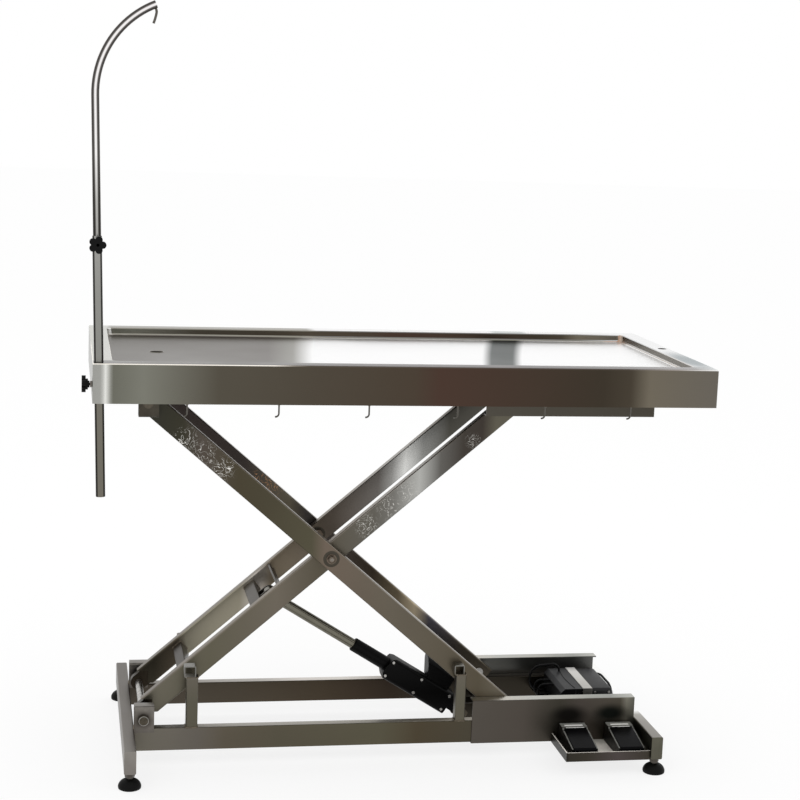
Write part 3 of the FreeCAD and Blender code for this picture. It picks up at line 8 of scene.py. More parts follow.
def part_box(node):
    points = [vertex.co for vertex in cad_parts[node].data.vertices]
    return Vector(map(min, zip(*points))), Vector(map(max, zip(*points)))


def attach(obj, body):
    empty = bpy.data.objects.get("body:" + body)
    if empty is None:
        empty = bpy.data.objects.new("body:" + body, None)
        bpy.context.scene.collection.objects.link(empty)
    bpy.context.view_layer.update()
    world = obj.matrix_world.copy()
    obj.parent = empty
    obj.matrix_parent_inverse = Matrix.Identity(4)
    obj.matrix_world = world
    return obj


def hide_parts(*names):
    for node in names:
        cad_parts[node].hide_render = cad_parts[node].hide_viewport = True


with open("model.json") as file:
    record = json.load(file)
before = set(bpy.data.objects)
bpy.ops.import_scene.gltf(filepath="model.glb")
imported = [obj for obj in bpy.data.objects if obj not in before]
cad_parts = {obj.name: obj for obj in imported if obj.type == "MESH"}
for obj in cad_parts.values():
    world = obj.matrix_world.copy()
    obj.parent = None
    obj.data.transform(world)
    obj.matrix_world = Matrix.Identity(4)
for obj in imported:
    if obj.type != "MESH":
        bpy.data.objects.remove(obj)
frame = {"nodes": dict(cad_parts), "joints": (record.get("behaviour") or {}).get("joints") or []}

bl_info = {
    "name": "Exam table looks",
    "blender": (4, 5, 0),
    "version": (1, 0, 0),
    "location": "3D View > Sidebar > Exam table",
    "description": "Finishes a veterinary exam table: sheet steel, welds, knobs, pedals and control case",
    "category": "Object",
}

NODES = frame["nodes"]
JOINTS = {joint["name"]: joint for joint in frame["joints"]}
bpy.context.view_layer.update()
TRAY_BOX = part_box("tray_top")
POLE_MIDDLE = sum(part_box("upper_pole"), Vector()) / 2
MM = 0.001
BASIN_DEPTH = 18 * MM
RIM_WIDTH = 41 * MM
UP = Vector((0, 0, 1))
AXIS = {"X": 0, "Y": 1, "Z": 2}


# ---------------------------------------------------------------- settings

class ExamTableSettings(bpy.types.PropertyGroup):
    """Sizes and amounts that the operators read."""

    smooth_angle: bpy.props.FloatProperty(
        name="Smooth angle", description="Faces that meet under this angle are shaded as one surface",
        default=math.radians(32), unit="ROTATION", subtype="ANGLE")
    bead_radius: bpy.props.FloatProperty(
        name="Bead radius", description="Radius of one ripple of a weld",
        default=1.7 * MM, unit="LENGTH", subtype="DISTANCE")
    bead_pitch: bpy.props.FloatProperty(
        name="Bead pitch", description="Distance from one ripple of a weld to the next",
        default=2.3 * MM, unit="LENGTH", subtype="DISTANCE")
    thread_pitch: bpy.props.FloatProperty(
        name="Thread pitch", description="Distance between the turns on the foot studs",
        default=1.75 * MM, unit="LENGTH", subtype="DISTANCE")
    pad_height: bpy.props.FloatProperty(
        name="Pad height", description="Height of the domed pad of a foot",
        default=21.5 * MM, unit="LENGTH", subtype="DISTANCE")
    stud_radius: bpy.props.FloatProperty(
        name="Stud radius", description="Radius of the threaded stud of a foot",
        default=6 * MM, unit="LENGTH", subtype="DISTANCE")
    cover_reach: bpy.props.FloatProperty(
        name="Cover reach", description="How far the cover of the control case runs past the case",
        default=60 * MM, unit="LENGTH", subtype="DISTANCE")
    bezel_depth: bpy.props.FloatProperty(
        name="Bezel depth", description="Depth of the plate that covers the hinge end of each treadle",
        default=29 * MM, unit="LENGTH", subtype="DISTANCE")
    world_fill: bpy.props.FloatProperty(
        name="World fill", description="Strength of the plain light from all round", default=0.97)
    key_power: bpy.props.FloatProperty(
        name="Key power", description="Power of the soft light from the front left", default=16.0,
        unit="POWER")


def settings():
    return bpy.context.scene.exam_table


# ---------------------------------------------------------------- node trees

def add(tree, kind, wires=(), **options):
    """Adds a node, sets its options, and fills its sockets with values or with links."""
    made = tree.nodes.new(kind)
    for name, value in options.items():
        setattr(made, name, value)
    for name, value in dict(wires).items():
        socket = made.inputs[name]
        if isinstance(value, bpy.types.Node):
            value = value.outputs[0]
        if isinstance(value, bpy.types.NodeSocket):
            tree.links.new(value, socket)
        else:
            socket.default_value = value
    return made


def maths(tree, operation, *values):
    """One step of arithmetic on numbers and sockets."""
    return add(tree, "ShaderNodeMath", dict(enumerate(values)), operation=operation).outputs[0]


def fitted(tree, value, start, end, low=0.0, high=1.0, kind="LINEAR"):
    """A value that runs from start to end, fitted to run from low to high."""
    limits = {"Value": value, "From Min": start, "From Max": end, "To Min": low, "To Max": high}
    return add(tree, "ShaderNodeMapRange", limits, interpolation_type=kind).outputs["Result"]


def object_place(tree):
    """Where a point lies in the table's own frame."""
    return add(tree, "ShaderNodeTexCoord").outputs["Object"]


def along_table(tree, axis):
    """How far along one axis of the table a point lies."""
    return add(tree, "ShaderNodeSeparateXYZ", {"Vector": object_place(tree)}).outputs[axis]


def sockets(tree, direction, wanted):
    """Adds named sockets to the outside of a group or tree."""
    for name, kind, value in wanted:
        socket = tree.interface.new_socket(name, in_out=direction, socket_type="NodeSocket" + kind)
        if value is not None:
            socket.default_value = value


def shader_group(name, inputs, outputs):
    """A shader node group with its own inputs and outputs, and its two end nodes."""
    tree = bpy.data.node_groups.new(name, "ShaderNodeTree")
    sockets(tree, "INPUT", inputs)
    sockets(tree, "OUTPUT", outputs)
    return tree, tree.nodes.new("NodeGroupInput").outputs, tree.nodes.new("NodeGroupOutput").inputs


def geometry_tree(name, inputs):
    """A Geometry Nodes tree with named inputs, and its two end nodes."""
    tree = bpy.data.node_groups.new(name, "GeometryNodeTree")
    sockets(tree, "INPUT", [("Geometry", "Geometry", None), *inputs])
    sockets(tree, "OUTPUT", [("Geometry", "Geometry", None)])
    return tree, tree.nodes.new("NodeGroupInput").outputs, tree.nodes.new("NodeGroupOutput").inputs


def end_tree(tree, result, end, geometry, material):
    """Closes a tree the same way each time: one real mesh, smooth, with its material."""
    real = add(tree, "GeometryNodeRealizeInstances", {"Geometry": geometry})
    smooth = add(tree, "GeometryNodeSetShadeSmooth", {"Geometry": real, "Shade Smooth": result})
    finish = add(tree, "GeometryNodeSetMaterial", {"Geometry": smooth, "Material": material})
    tree.links.new(finish.outputs[0], end["Geometry"])


def set_inputs(modifier, values):
    """Sets a modifier's inputs by their sockets' identifiers."""
    for item in modifier.node_group.interface.items_tree:
        if item.item_type == "SOCKET" and item.in_out == "INPUT" and item.name in values:
            modifier[item.identifier] = values[item.name]


def grow(name, tree, points, edges, values, body):
    """Runs a tree on a guide mesh and keeps the outcome as one plain piece of a body."""
    guide = bpy.data.meshes.new(name)
    guide.from_pydata([tuple(point) for point in points], edges, [])
    piece = bpy.data.objects.new(name, guide)
    bpy.context.scene.collection.objects.link(piece)
    modifier = piece.modifiers.new(name, "NODES")
    modifier.node_group = tree
    set_inputs(modifier, values)
    graph = bpy.context.evaluated_depsgraph_get()
    plain = bpy.data.meshes.new_from_object(piece.evaluated_get(graph), depsgraph=graph)
    piece.modifiers.clear()
    piece.data = plain
    return keep(piece, body)


def keep(piece, body):
    """Fixes a piece to its body."""
    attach(piece, body)
    return piece


def turned(name, foot, profile, steps, materials, body):
    """A closed turned piece from a profile of (radius, height, material number) round an upright axis."""
    points = [foot + UP * profile[0][1]]
    faces = []
    numbers = []
    for radius, height, number in profile:
        for step in range(steps):
            turn = 2 * math.pi * step / steps
            points.append(foot + Vector((radius * math.cos(turn), radius * math.sin(turn), height)))
    last = len(profile) - 1
    points.append(foot + UP * profile[last][1])
    for step in range(steps):
        following = (step + 1) % steps
        faces.append((0, 1 + following, 1 + step))
        numbers.append(profile[0][2])
        for row in range(last):
            low = 1 + row * steps
            faces.append((low + step, low + following, low + steps + following, low + steps + step))
            numbers.append(profile[row + 1][2])
        top = 1 + last * steps
        faces.append((top + step, top + following, len(points) - 1))
        numbers.append(profile[last][2])
    mesh = bpy.data.meshes.new(name)
    mesh.from_pydata([tuple(point) for point in points], [], faces)
    for material in materials:
        mesh.materials.append(material)
    for face, number in zip(mesh.polygons, numbers):
        face.material_index = number
        face.use_smooth = True
    mesh.set_sharp_from_angle(angle=settings().smooth_angle)
    piece = bpy.data.objects.new(name, mesh)
    bpy.context.scene.collection.objects.link(piece)
    return keep(piece, body)


def rounded_box(name, lo, hi, radius, material, body):
    """A box with rounded edges, such as a moulded cover."""
    corners = [(x, y, z) for x in (lo.x, hi.x) for y in (lo.y, hi.y) for z in (lo.z, hi.z)]
    faces = [(0, 1, 3, 2), (4, 6, 7, 5), (0, 4, 5, 1), (2, 3, 7, 6), (0, 2, 6, 4), (1, 5, 7, 3)]
    mesh = bpy.data.meshes.new(name)
    mesh.from_pydata(corners, [], faces)
    mesh.materials.append(material)
    piece = bpy.data.objects.new(name, mesh)
    bpy.context.scene.collection.objects.link(piece)
    softened = piece.modifiers.new("Rounded edges", "BEVEL")
    softened.width = radius
    softened.segments = 4
    graph = bpy.context.evaluated_depsgraph_get()
    piece.data = bpy.data.meshes.new_from_object(piece.evaluated_get(graph), depsgraph=graph)
    piece.modifiers.clear()
    for face in piece.data.polygons:
        face.use_smooth = True
    piece.data.set_sharp_from_angle(angle=settings().smooth_angle)
    return keep(piece, body)


# ---------------------------------------------------------------- shared effects

def seen(red, green, blue):
    """A colour written as it looks on a screen, from 0 to 255, as the linear one a shader takes."""
    def linear(value):
        value = value / 255
        return value / 12.92 if value <= 0.04045 else ((value + 0.055) / 1.055) ** 2.4
    return (linear(red), linear(green), linear(blue), 1.0)


def make_brushed_group():
    """Grain, smudges and handling marks of brushed sheet, worked out from object coordinates."""
    tree, given, end = shader_group(
        "Brushed sheet",
        [("Stretch", "Vector", (30, 900, 900)), ("Smudge Scale", "Float", 4.0),
         ("Roughness Low", "Float", 0.28), ("Roughness High", "Float", 0.42)],
        [("Smudge", "Float", None), ("Roughness", "Float", None), ("Height", "Float", None)])
    place = object_place(tree)
    stretched = add(tree, "ShaderNodeVectorMath", {0: place, 1: given["Stretch"]}, operation="MULTIPLY")
    grain = add(tree, "ShaderNodeTexNoise", {"Vector": stretched, "Scale": 1.0, "Detail": 3.0})
    clouds = add(tree, "ShaderNodeTexNoise",
                 {"Vector": place, "Scale": given["Smudge Scale"], "Detail": 3.0, "Roughness": 0.55})
    cloudy = fitted(tree, clouds.outputs["Fac"], 0.32, 0.68)
    mixed = add(tree, "ShaderNodeMix", {"Factor": 0.35, 2: cloudy, 3: grain.outputs["Fac"]},
                data_type="FLOAT").outputs[0]
    rough = fitted(tree, mixed, 0.0, 1.0, given["Roughness Low"], given["Roughness High"])
    tree.links.new(mixed, end["Smudge"])
    tree.links.new(rough, end["Roughness"])
    tree.links.new(grain.outputs["Fac"], end["Height"])
    return tree


def make_moulded_group():
    """Fine pebble and slow wear of moulded plastic and rubber."""
    tree, given, end = shader_group(
        "Moulded skin",
        [("Pebble Scale", "Float", 900.0), ("Roughness Low", "Float", 0.35),
         ("Roughness High", "Float", 0.55)],
        [("Wear", "Float", None), ("Roughness", "Float", None), ("Height", "Float", None)])
    place = object_place(tree)
    pebble = add(tree, "ShaderNodeTexVoronoi", {"Vector": place, "Scale": given["Pebble Scale"]})
    wear = add(tree, "ShaderNodeTexNoise", {"Vector": place, "Scale": 22.0, "Detail": 4.0})
    rough = fitted(tree, wear.outputs["Fac"], 0.0, 1.0, given["Roughness Low"], given["Roughness High"])
    tree.links.new(wear.outputs["Fac"], end["Wear"])
    tree.links.new(rough, end["Roughness"])
    tree.links.new(pebble.outputs["Distance"], end["Height"])
    return tree


def reach_mask(tree, given):
    """How near a point lies to a centre: 1 at the middle and 0 outside its reach."""
    place = object_place(tree)
    offset = add(tree, "ShaderNodeVectorMath", {0: place, 1: given["Centre"]}, operation="SUBTRACT")
    scaled = add(tree, "ShaderNodeVectorMath", {0: offset, 1: given["Reach"]}, operation="DIVIDE")
    length = add(tree, "ShaderNodeVectorMath", {0: scaled}, operation="LENGTH")
    return place, fitted(tree, length.outputs["Value"], 0.25, 1.0, 1.0, 0.0, "SMOOTHSTEP")


def make_patch_group():
    """A soft-edged patch of another shade."""
    tree, given, end = shader_group(
        "Soft patch",
        [("Centre", "Vector", (0, 0, 0)), ("Reach", "Vector", (0.1, 0.1, 0.1))],
        [("Mask", "Float", None)])
    tree.links.new(reach_mask(tree, given)[1], end["Mask"])
    return tree


def make_wavy_highlight_group():
    """Thin bright wavy lines of painted highlight, inside a soft-edged patch."""
    tree, given, end = shader_group(
        "Wavy highlight lines",
        [("Centre", "Vector", (0, 0, 0)), ("Reach", "Vector", (0.1, 0.1, 0.1)),
         ("Scale", "Float", 60.0)],
        [("Mask", "Float", None)])
    place, near = reach_mask(tree, given)
    folds = add(tree, "ShaderNodeTexNoise",
                {"Vector": place, "Scale": given["Scale"], "Detail": 1.5, "Distortion": 1.8})
    apart = maths(tree, "ABSOLUTE", maths(tree, "SUBTRACT", folds.outputs["Fac"], 0.5))
    line = fitted(tree, apart, 0.003, 0.018, 1.0, 0.0)
    tree.links.new(maths(tree, "MULTIPLY", line, near), end["Mask"])
    return tree


def make_lean_group():
    """A place along the tray that leans with its depth, as bands of light lie across its sheet."""
    tree, given, end = shader_group(
        "Leaning bands", [("Lean", "Float", 0.18), ("Spread", "Float", 0.26)],
        [("Place", "Float", None)])
    along = along_table(tree, "X")
    lean = maths(tree, "MULTIPLY_ADD", along, given["Spread"], given["Lean"])
    shift = maths(tree, "MULTIPLY", along_table(tree, "Y"), lean)
    tree.links.new(maths(tree, "SUBTRACT", along, shift), end["Place"])
    return tree


def make_tube_reflection_group():
    """Bright and dark lines of painted reflection along a round tube, by how far a point is from its middle
    plane.
    """
    tree, given, end = shader_group(
        "Painted tube reflections", [("Middle", "Float", 0.0), ("Radius", "Float", 0.01)], [("Share", "Float", None)])
    apart = maths(tree, "ABSOLUTE", maths(tree, "SUBTRACT", along_table(tree, "Y"), given["Middle"]))
    tree.links.new(maths(tree, "DIVIDE", apart, given["Radius"]), end["Share"])
    return tree


def new_material(name):
    material = bpy.data.materials.new(name)
    material.use_nodes = True
    tree = material.node_tree
    return material, tree, tree.nodes["Principled BSDF"]


def bump(tree, shader, height, strength, distance):
    made = add(tree, "ShaderNodeBump", {"Height": height, "Strength": strength, "Distance": distance})
    tree.links.new(made.outputs["Normal"], shader.inputs["Normal"])


def shades(tree, place, stops):
    """A colour that runs through given shades; a stop is (place, shade)."""
    stops = sorted(stops)
    low = stops[0][0]
    high = stops[-1][0] + MM
    ramp = add(tree, "ShaderNodeValToRGB", {"Fac": fitted(tree, place, low, high)})
    elements = ramp.color_ramp.elements
    while len(elements) < len(stops):
        elements.new(0.5)
    for element, (spot, colour) in zip(elements, stops):
        element.position = (spot - low) / (high - low)
        element.color = seen(*colour)
    return ramp.outputs["Color"]


def placed(tree, group, **values):
    """One of the shared effects in a material, with its own values."""
    made = add(tree, "ShaderNodeGroup", node_tree=GROUPS[group])
    for name, value in values.items():
        made.inputs[name.replace("_", " ")].default_value = value
    return made.outputs


def over(tree, mask, lower, upper):
    return add(tree, "ShaderNodeMix", {"Factor": mask, 6: lower, 7: upper}, data_type="RGBA").outputs[2]


def steel(name, along, stops, stretch=(25, 900, 900), rough=(0.28, 0.42), smudge=4.0, depth=0.12,
          patches=(), highlight_creases=(), beyond=None, lines=None, metallic=1.0):
    """Brushed steel: shades along the table, which are painted reflections and painted shade, varied by
    smudges, with grain in roughness and height.
    along is an axis or "lean". A patch is (centre, reach, colour), a soft spot of painted light, lighter or
    darker, and a patch of wavy lines (centre, reach, scale, colour) holds lines of painted highlight.
    beyond is (axis, start, end, stops): other painted shades on the far side of that stretch.
    lines is (middle, radius, stops): lines of painted reflection across a tube."""
    material, tree, shader = new_material(name)
    brushed = placed(tree, "brushed", Stretch=stretch, Smudge_Scale=smudge, Roughness_Low=rough[0],
                     Roughness_High=rough[1])
    if along == "lean":
        place = placed(tree, "lean")["Place"]
    else:
        place = along_table(tree, along)
    colour = shades(tree, place, stops)
    if beyond:
        axis, start, finish, others = beyond
        side = fitted(tree, along_table(tree, axis), start, finish)
        colour = over(tree, side, colour, shades(tree, place, others))
    for centre, reach, shade in patches:
        patch = placed(tree, "patch", Centre=centre, Reach=reach)
        colour = over(tree, patch["Mask"], colour, seen(*shade))
    for centre, reach, scale, shade in highlight_creases:
        highlight_crease = placed(tree, "wavy_highlight", Centre=centre, Reach=reach, Scale=scale)
        colour = over(tree, highlight_crease["Mask"], colour, seen(*shade))
    if lines:
        line_middle, radius, line_stops = lines
        share = placed(tree, "tube_reflection", Middle=line_middle, Radius=radius)["Share"]
        across = shades(tree, share, line_stops)
        colour = add(tree, "ShaderNodeVectorMath", {0: colour, 1: across}, operation="MULTIPLY").outputs[0]
    uneven = fitted(tree, brushed["Smudge"], 0.0, 1.0, 1 - depth, 1 + depth)
    tinted = add(tree, "ShaderNodeVectorMath", {0: colour, "Scale": uneven}, operation="SCALE")
    tree.links.new(tinted.outputs[0], shader.inputs["Base Color"])
    tree.links.new(brushed["Roughness"], shader.inputs["Roughness"])
    shader.inputs["Metallic"].default_value = metallic
    bump(tree, shader, brushed["Height"], 0.12, 0.05 * MM)
    return material


def moulded(name, dark, light, rough=(0.35, 0.55), pebble=900.0, height=0.03, specular=0.1):
    """Moulded or painted skin: two close shades mixed by wear, with a fine pebble in its height."""
    material, tree, shader = new_material(name)
    skin = placed(tree, "moulded", Pebble_Scale=pebble, Roughness_Low=rough[0], Roughness_High=rough[1])
    colour = over(tree, skin["Wear"], seen(*dark), seen(*light))
    tree.links.new(colour, shader.inputs["Base Color"])
    tree.links.new(skin["Roughness"], shader.inputs["Roughness"])
    shader.inputs["Specular IOR Level"].default_value = specular
    bump(tree, shader, skin["Height"], 0.3, height * MM)
    return material


# ---------------------------------------------------------------- materials of the table

GROUPS = {}
LOOKS = {}
TREES = {}


def tray_materials():
    """The zones of the tray sheet, and the tubes and channels under it. Their shades along the table are
    painted reflections and painted shade.
    """
    end = TRAY_BOX[1].x
    rim = TRAY_BOX[1].z
    # Apron: a white strip of painted highlight near the left end, brown painted reflection along the
    # middle, lighter again at the right end.
    apron = [(-end, (160, 160, 155)), (-0.632, (165, 165, 160)), (-0.625, (235, 235, 230)),
             (-0.612, (110, 110, 100)), (-0.55, (125, 125, 115)), (-0.4, (85, 80, 70)),
             (0.0, (75, 65, 55)), (0.05, (75, 58, 50)), (0.4, (62, 55, 46)), (0.46, (72, 65, 55)),
             (0.5, (112, 105, 92)), (end, (105, 100, 92))]
    # Basin floor: a broad white band and a narrow dark band of painted reflection, leaning across the
    # sheet.
    floor = [(-end, (106, 102, 96)), (-0.53, (103, 98, 92)), (-0.27, (113, 108, 103)),
             (-0.215, (150, 148, 142)), (-0.172, (255, 255, 255)), (0.208, (255, 255, 255)),
             (0.228, (66, 73, 71)), (0.278, (58, 66, 63)), (0.298, (255, 255, 255))]
    # Rims and folded edges: painted reflections, whose white stops are painted highlights.
    near_rim = [(-end, (90, 87, 82)), (-0.5, (86, 82, 76)), (0.0, (86, 78, 78)), (0.45, (80, 74, 70)),
                (0.56, (122, 116, 114)), (0.6, (128, 123, 120)), (end, (225, 228, 228))]
    far_rim = [(-end, (196, 196, 188)), (-0.61, (200, 200, 194)), (-0.6, (146, 143, 134)),
               (-0.15, (150, 147, 138)), (-0.13, (238, 238, 238)), (0.285, (238, 238, 238)),
               (0.3, (182, 188, 186)), (0.365, (182, 188, 186)), (0.38, (238, 238, 238))]
    near_fold = [(-end, (255, 250, 240)), (-0.29, (255, 248, 238)), (-0.25, (150, 142, 132)),
                 (-0.22, (92, 84, 75)), (0.45, (84, 75, 70)), (0.56, (160, 152, 146)),
                 (end, (246, 246, 244))]
    far_fold = [(-end, (190, 190, 182)), (-0.6, (150, 147, 138)), (-0.14, (146, 143, 134)),
                (-0.12, (128, 126, 124)), (0.5, (120, 118, 116)), (end, (236, 236, 236))]
    # Basin wall: painted reflection, warmer and lighter near the right end.
    wall = [(-end, (172, 168, 161)), (-0.602, (168, 164, 157)), (-0.594, (125, 120, 113)),
            (-0.4, (125, 120, 114)), (-0.15, (138, 132, 120)), (0.07, (148, 145, 130)),
            (0.56, (150, 146, 133)), (0.575, (186, 150, 124)), (0.6, (176, 140, 116)),
            (0.61, (190, 182, 172))]
    return {
        "apron": steel("Apron sheet", "X", apron, rough=(0.24, 0.36), depth=0.06),
        # The rim's patch is a bluish painted reflection at the right end.
        "rim": steel("Rim sheet", "X", near_rim, rough=(0.22, 0.34), depth=0.06,
            beyond=("Y", -0.262, -0.25, far_rim), patches=[((end - 0.018, -0.16, rim), (0.05, 0.17, 0.05),
            (142, 152, 155))]),
        "fold": steel("Folded edge", "X", near_fold, rough=(0.2, 0.3), depth=0.04,
            beyond=("Y", -0.05, 0.05, far_fold)),
        # The wall's two patches are painted highlights in the far left corner.
        "wall": steel("Basin wall sheet", "X", wall, depth=0.08, patches=[((-0.6, 0.258, 0.884),
            (0.03, 0.03, 0.012), (246, 246, 243)), ((-0.57, 0.258, 0.88), (0.02, 0.03, 0.008),
            (206, 204, 199))]),
        "floor": steel("Basin floor sheet", "lean", floor, stretch=(18, 700, 700), rough=(0.3, 0.44),
            smudge=2.5, depth=0.03),
        "under": steel("Underside sheet", "X", [(-end, (96, 92, 85)), (end, (74, 70, 62))]),
    }


